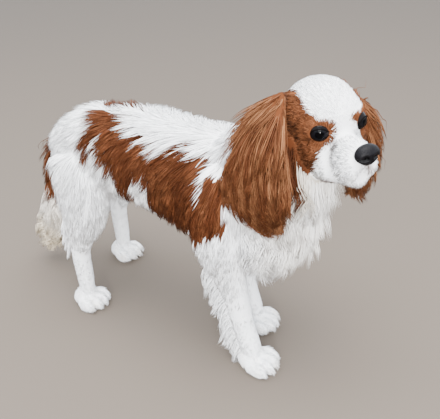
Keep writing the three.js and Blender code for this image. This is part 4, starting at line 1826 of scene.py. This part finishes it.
class Studio:
    """Floor and light."""

    def floor(self) -> None:
        """Lays a plain pale floor."""
        work = bmesh.new()
        bmesh.ops.create_grid(work, x_segments=1, y_segments=1, size=12)
        finished("floor", work, Finishes.plain("floor", TONES.floor, 0.9, 0.1))

    def lamp(self, name: str, at: Sequence[float], size: float, power: float, tone: Colour) -> None:
        """Hangs one soft light that points at the dog.

        Args:
            name: Its name.
            at: Its place.
            size: Its width.
            power: Its power in watts.
            tone: Its colour.
        """
        data = bpy.data.lights.new(name, "AREA")
        data.size = size
        data.energy = power
        data.color = tone
        lamp = linked(name, data)
        way = Vector((0, 0, 0.2)) - Vector(at)
        lamp.matrix_world = Matrix.Translation(at) @ way.to_track_quat("-Z", "Y").to_matrix().to_4x4()

    def light(self) -> None:
        """Lights the scene softly from above."""
        world = bpy.data.worlds.new("sky")
        world.use_nodes = True
        back = world.node_tree.nodes["Background"]
        back.inputs["Color"].default_value = (0.86, 0.93, 1.0, 1)
        back.inputs["Strength"].default_value = 3.8
        bpy.context.scene.world = world
        self.lamp("above", (0.2, -0.3, 2.4), 1.8, 180, (1.0, 0.99, 0.97))
        self.lamp("beside", (1.1, -1.9, 1.3), 1.2, 85, (1.0, 0.98, 0.95))
        self.lamp("catch light", (0.751, -0.873, 0.327), 0.12, 12, (1.0, 1.0, 1.0))


def legs(roots: Roots, low: float, high: float, regions: Sequence[Region]) -> Array:
    """Weighs hair on a stretch of legs.

    Args:
        roots: The skin's places.
        low: Lowest share along the leg.
        high: Highest share.
        regions: The legs.

    Returns:
        A density for each triangle.
    """
    on = within(roots.region, regions)
    return on * (roots.share >= low) * (roots.share <= high) * 1.0


def rear(roots: Roots, reach: float) -> Array:
    """Finds the rear of upright forms.

    Args:
        roots: The skin's places.
        reach: Half width of the strip, in radians.

    Returns:
        True for each triangle there.
    """
    return np.abs(roots.angle + math.pi / 2) < reach


def belly(roots: Roots) -> Array:
    """Weighs the fringe under the trunk.

    Args:
        roots: The skin's places.

    Returns:
        A density for each triangle.
    """
    under = (roots.region == Region.TRUNK.value) & (roots.angle < -0.15) & (roots.angle > -3.0)
    return under * (roots.share > 0.2) * (roots.share < 0.75) * (np.abs(roots.angle + 1.57) > 0.6)


def ruff(roots: Roots) -> Array:
    """Weighs the long hair of the chest and throat.

    Args:
        roots: The skin's places.

    Returns:
        A density for each triangle.
    """
    chest = (roots.region == Region.TRUNK.value) & (roots.share > 0.74) & (roots.angle < 0.25)
    throat = (roots.region == Region.NECK.value) & (roots.angle < -0.2) & (roots.share > 0.3)
    return (chest | throat) * (roots.middle[:, 0] > 0.11) * 1.0


def on_head(roots: Roots) -> Array:
    """Weighs the short hair of the head, clear of the eyes and nose.

    Args:
        roots: The skin's places.

    Returns:
        A density for each triangle.
    """
    head = roots.anatomy.head
    inner = head.inner(roots.middle)
    eye = np.array(head.head.eye)
    away = np.linalg.norm((np.abs(inner) * [1, 1, 0] + inner * [0, 0, 1] - eye) / [1, 1, 0.85], axis=1)
    nose = np.linalg.norm((inner - np.array(head.head.nose.at)) / np.array(head.head.nose.size), axis=1)
    return (roots.region == Region.HEAD.value) * (away > 0.0122) * (nose > 1.05) * 1.0


def temple(roots: Roots) -> Array:
    """Weighs the hair between the eye and the root of the ear.

    Args:
        roots: The skin's places.

    Returns:
        A density for each triangle.
    """
    head = roots.anatomy.head
    inner = head.inner(roots.middle)
    side = np.abs(inner[:, 1]) > 0.026
    return (roots.region == Region.HEAD.value) * side * (inner[:, 0] < 0.004) * (inner[:, 0] > -0.045) * 1.0


PELTS = (
    Pelt(
        "silk", 23500, (0.030, 0.052), 0.0010, 0.20, 0.15,
        lambda r: within(r.region, (Region.TRUNK, Region.NECK)) * 1.0, wave=0.0024, clump=0.6, proud=0.005,
    ),
    Pelt(
        "belly", 1800, (0.026, 0.038), 0.0010, 0.30, 0.45, belly, rings=4, wave=0.002, clump=0.7, proud=0.014,
    ),
    Pelt(
        "ruff", 5100, (0.040, 0.062), 0.0010, 0.45, 0.5, ruff, rings=4, wave=0.008, waves=1.2, clump=0.75,
        light=0.2, proud=0.036,
    ),
    Pelt(
        "thigh", 7200, (0.028, 0.042), 0.0010, 0.10, 0.2, lambda r: legs(r, 0, 0.8, HIND_LEGS), clump=0.35,
        light=0.05, proud=0.003,
    ),
    Pelt(
        "shoulder", 6300, (0.024, 0.034), 0.0010, 0.10, 0.2, lambda r: legs(r, 0, 0.83, FRONT_LEGS),
        clump=0.35, light=0.05, proud=0.003,
    ),
    Pelt(
        "shank", 7000, (0.018, 0.026), 0.0007, 0.26, 0.1,
        lambda r: legs(r, 0.66, 1, FRONT_LEGS) + legs(r, 0.65, 1, HIND_LEGS), rings=2, clump=0.3, proud=0.002,
    ),
    Pelt(
        "feather", 1600, (0.036, 0.052), 0.0009, 0.8, 0.5,
        lambda r: legs(r, 0.4, 0.93, FRONT_LEGS) * rear(r, 0.7), rings=4, wave=0.005, clump=0.8, proud=0.040,
    ),
    Pelt(
        "breeches", 1800, (0.028, 0.042), 0.0009, 0.35, 0.5,
        lambda r: legs(r, 0.15, 0.62, HIND_LEGS) * rear(r, 0.8), rings=4, wave=0.004, clump=0.75, proud=0.012,
    ),
    Pelt(
        "plume", 4400, (0.040, 0.066), 0.0010, 0.45, 0.35, lambda r: (r.region == Region.TAIL.value) * 1.0,
        rings=4, wave=0.012, waves=1.2, clump=0.8, per_clump=20, slot="cream_coat", light=0.3, proud=0.017,
    ),
    Pelt(
        "ears", 8200, (0.048, 0.076), 0.0009, 0.09, 0.2,
        lambda r: within(r.region, EARS) * (0.7 + 0.6 * r.share),
        rings=5, wave=0.007, waves=1.6, clump=0.6, per_clump=16, slot="chestnut_coat", proud=0.004,
    ),
    Pelt(
        "temple", 2000, (0.016, 0.030), 0.0009, 0.16, 0.3, temple, wave=0.002, clump=0.5,
        slot="chestnut_coat", proud=0.0,
    ),
    Pelt(
        "face", 17500, (0.0050, 0.0095), 0.00055, 0.20, 0.0, on_head, rings=2, clump=0.3, proud=0.0,
        sunk=0.0004,
    ),
    Pelt(
        "toes", 5200, (0.006, 0.010), 0.0006, 0.25, 0.1,
        lambda r: within(r.region, PAWS) * (r.middle[:, 2] > 0.003) * 1.0,
        rings=2, clump=0.35, proud=0.0, sunk=0.0006,
    ),
    Pelt(
        "ear_top", 1500, (0.014, 0.024), 0.0008, 0.14, 0.1,
        lambda r: within(r.region, EARS) * (r.share < 0.32) * 1.0, clump=0.5, slot="chestnut_coat",
        proud=0.003,
    ),
)


FLESH = (
    "torso", "neck", "head", "lower_jaw", "ear_right", "ear_left", "tail",
    "front_leg_right", "front_leg_left", "hind_leg_right", "hind_leg_left",
    "front_paw_right", "front_paw_left", "hind_paw_right", "hind_paw_left",
)


def find_shift() -> Array:
    """Finds the step from the dog's frame to the part's frame.

    Returns:
        The step, in metres.
    """
    low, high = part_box("eye_right")
    named = HEAD.turn() @ Vector((HEAD.eye[0], -HEAD.eye[1], HEAD.eye[2]))
    return (np.array(low) + np.array(high)) / 2 - np.array(named)


def main() -> None:
    """Builds the dog, its floor, light and camera."""
    logging.basicConfig(level=logging.INFO)
    shift = find_shift()
    LOG.info("shift %s", shift)
    anatomy = Anatomy(BODY, HEAD)
    markings = Markings(anatomy)
    hide = Hide(anatomy, shift)
    skin = hide.build(markings)
    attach(skin, "root")
    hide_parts(*FLESH)
    LOG.info("skin has %d faces", len(skin.data.polygons))
    face = Face(anatomy, shift)
    for sign in (1, -1):
        face.eye(sign)
    face.nose()
    Claws(shift).build()
    coat = Coat(Roots(skin.data, anatomy, shift), markings, shift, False)
    for number, pelt in enumerate(PELTS):
        coat.grow(pelt, SEED + number)
    studio = Studio()
    studio.floor()
    studio.light()
    Camera().build(shift)


if __name__ == "__main__":
    main()
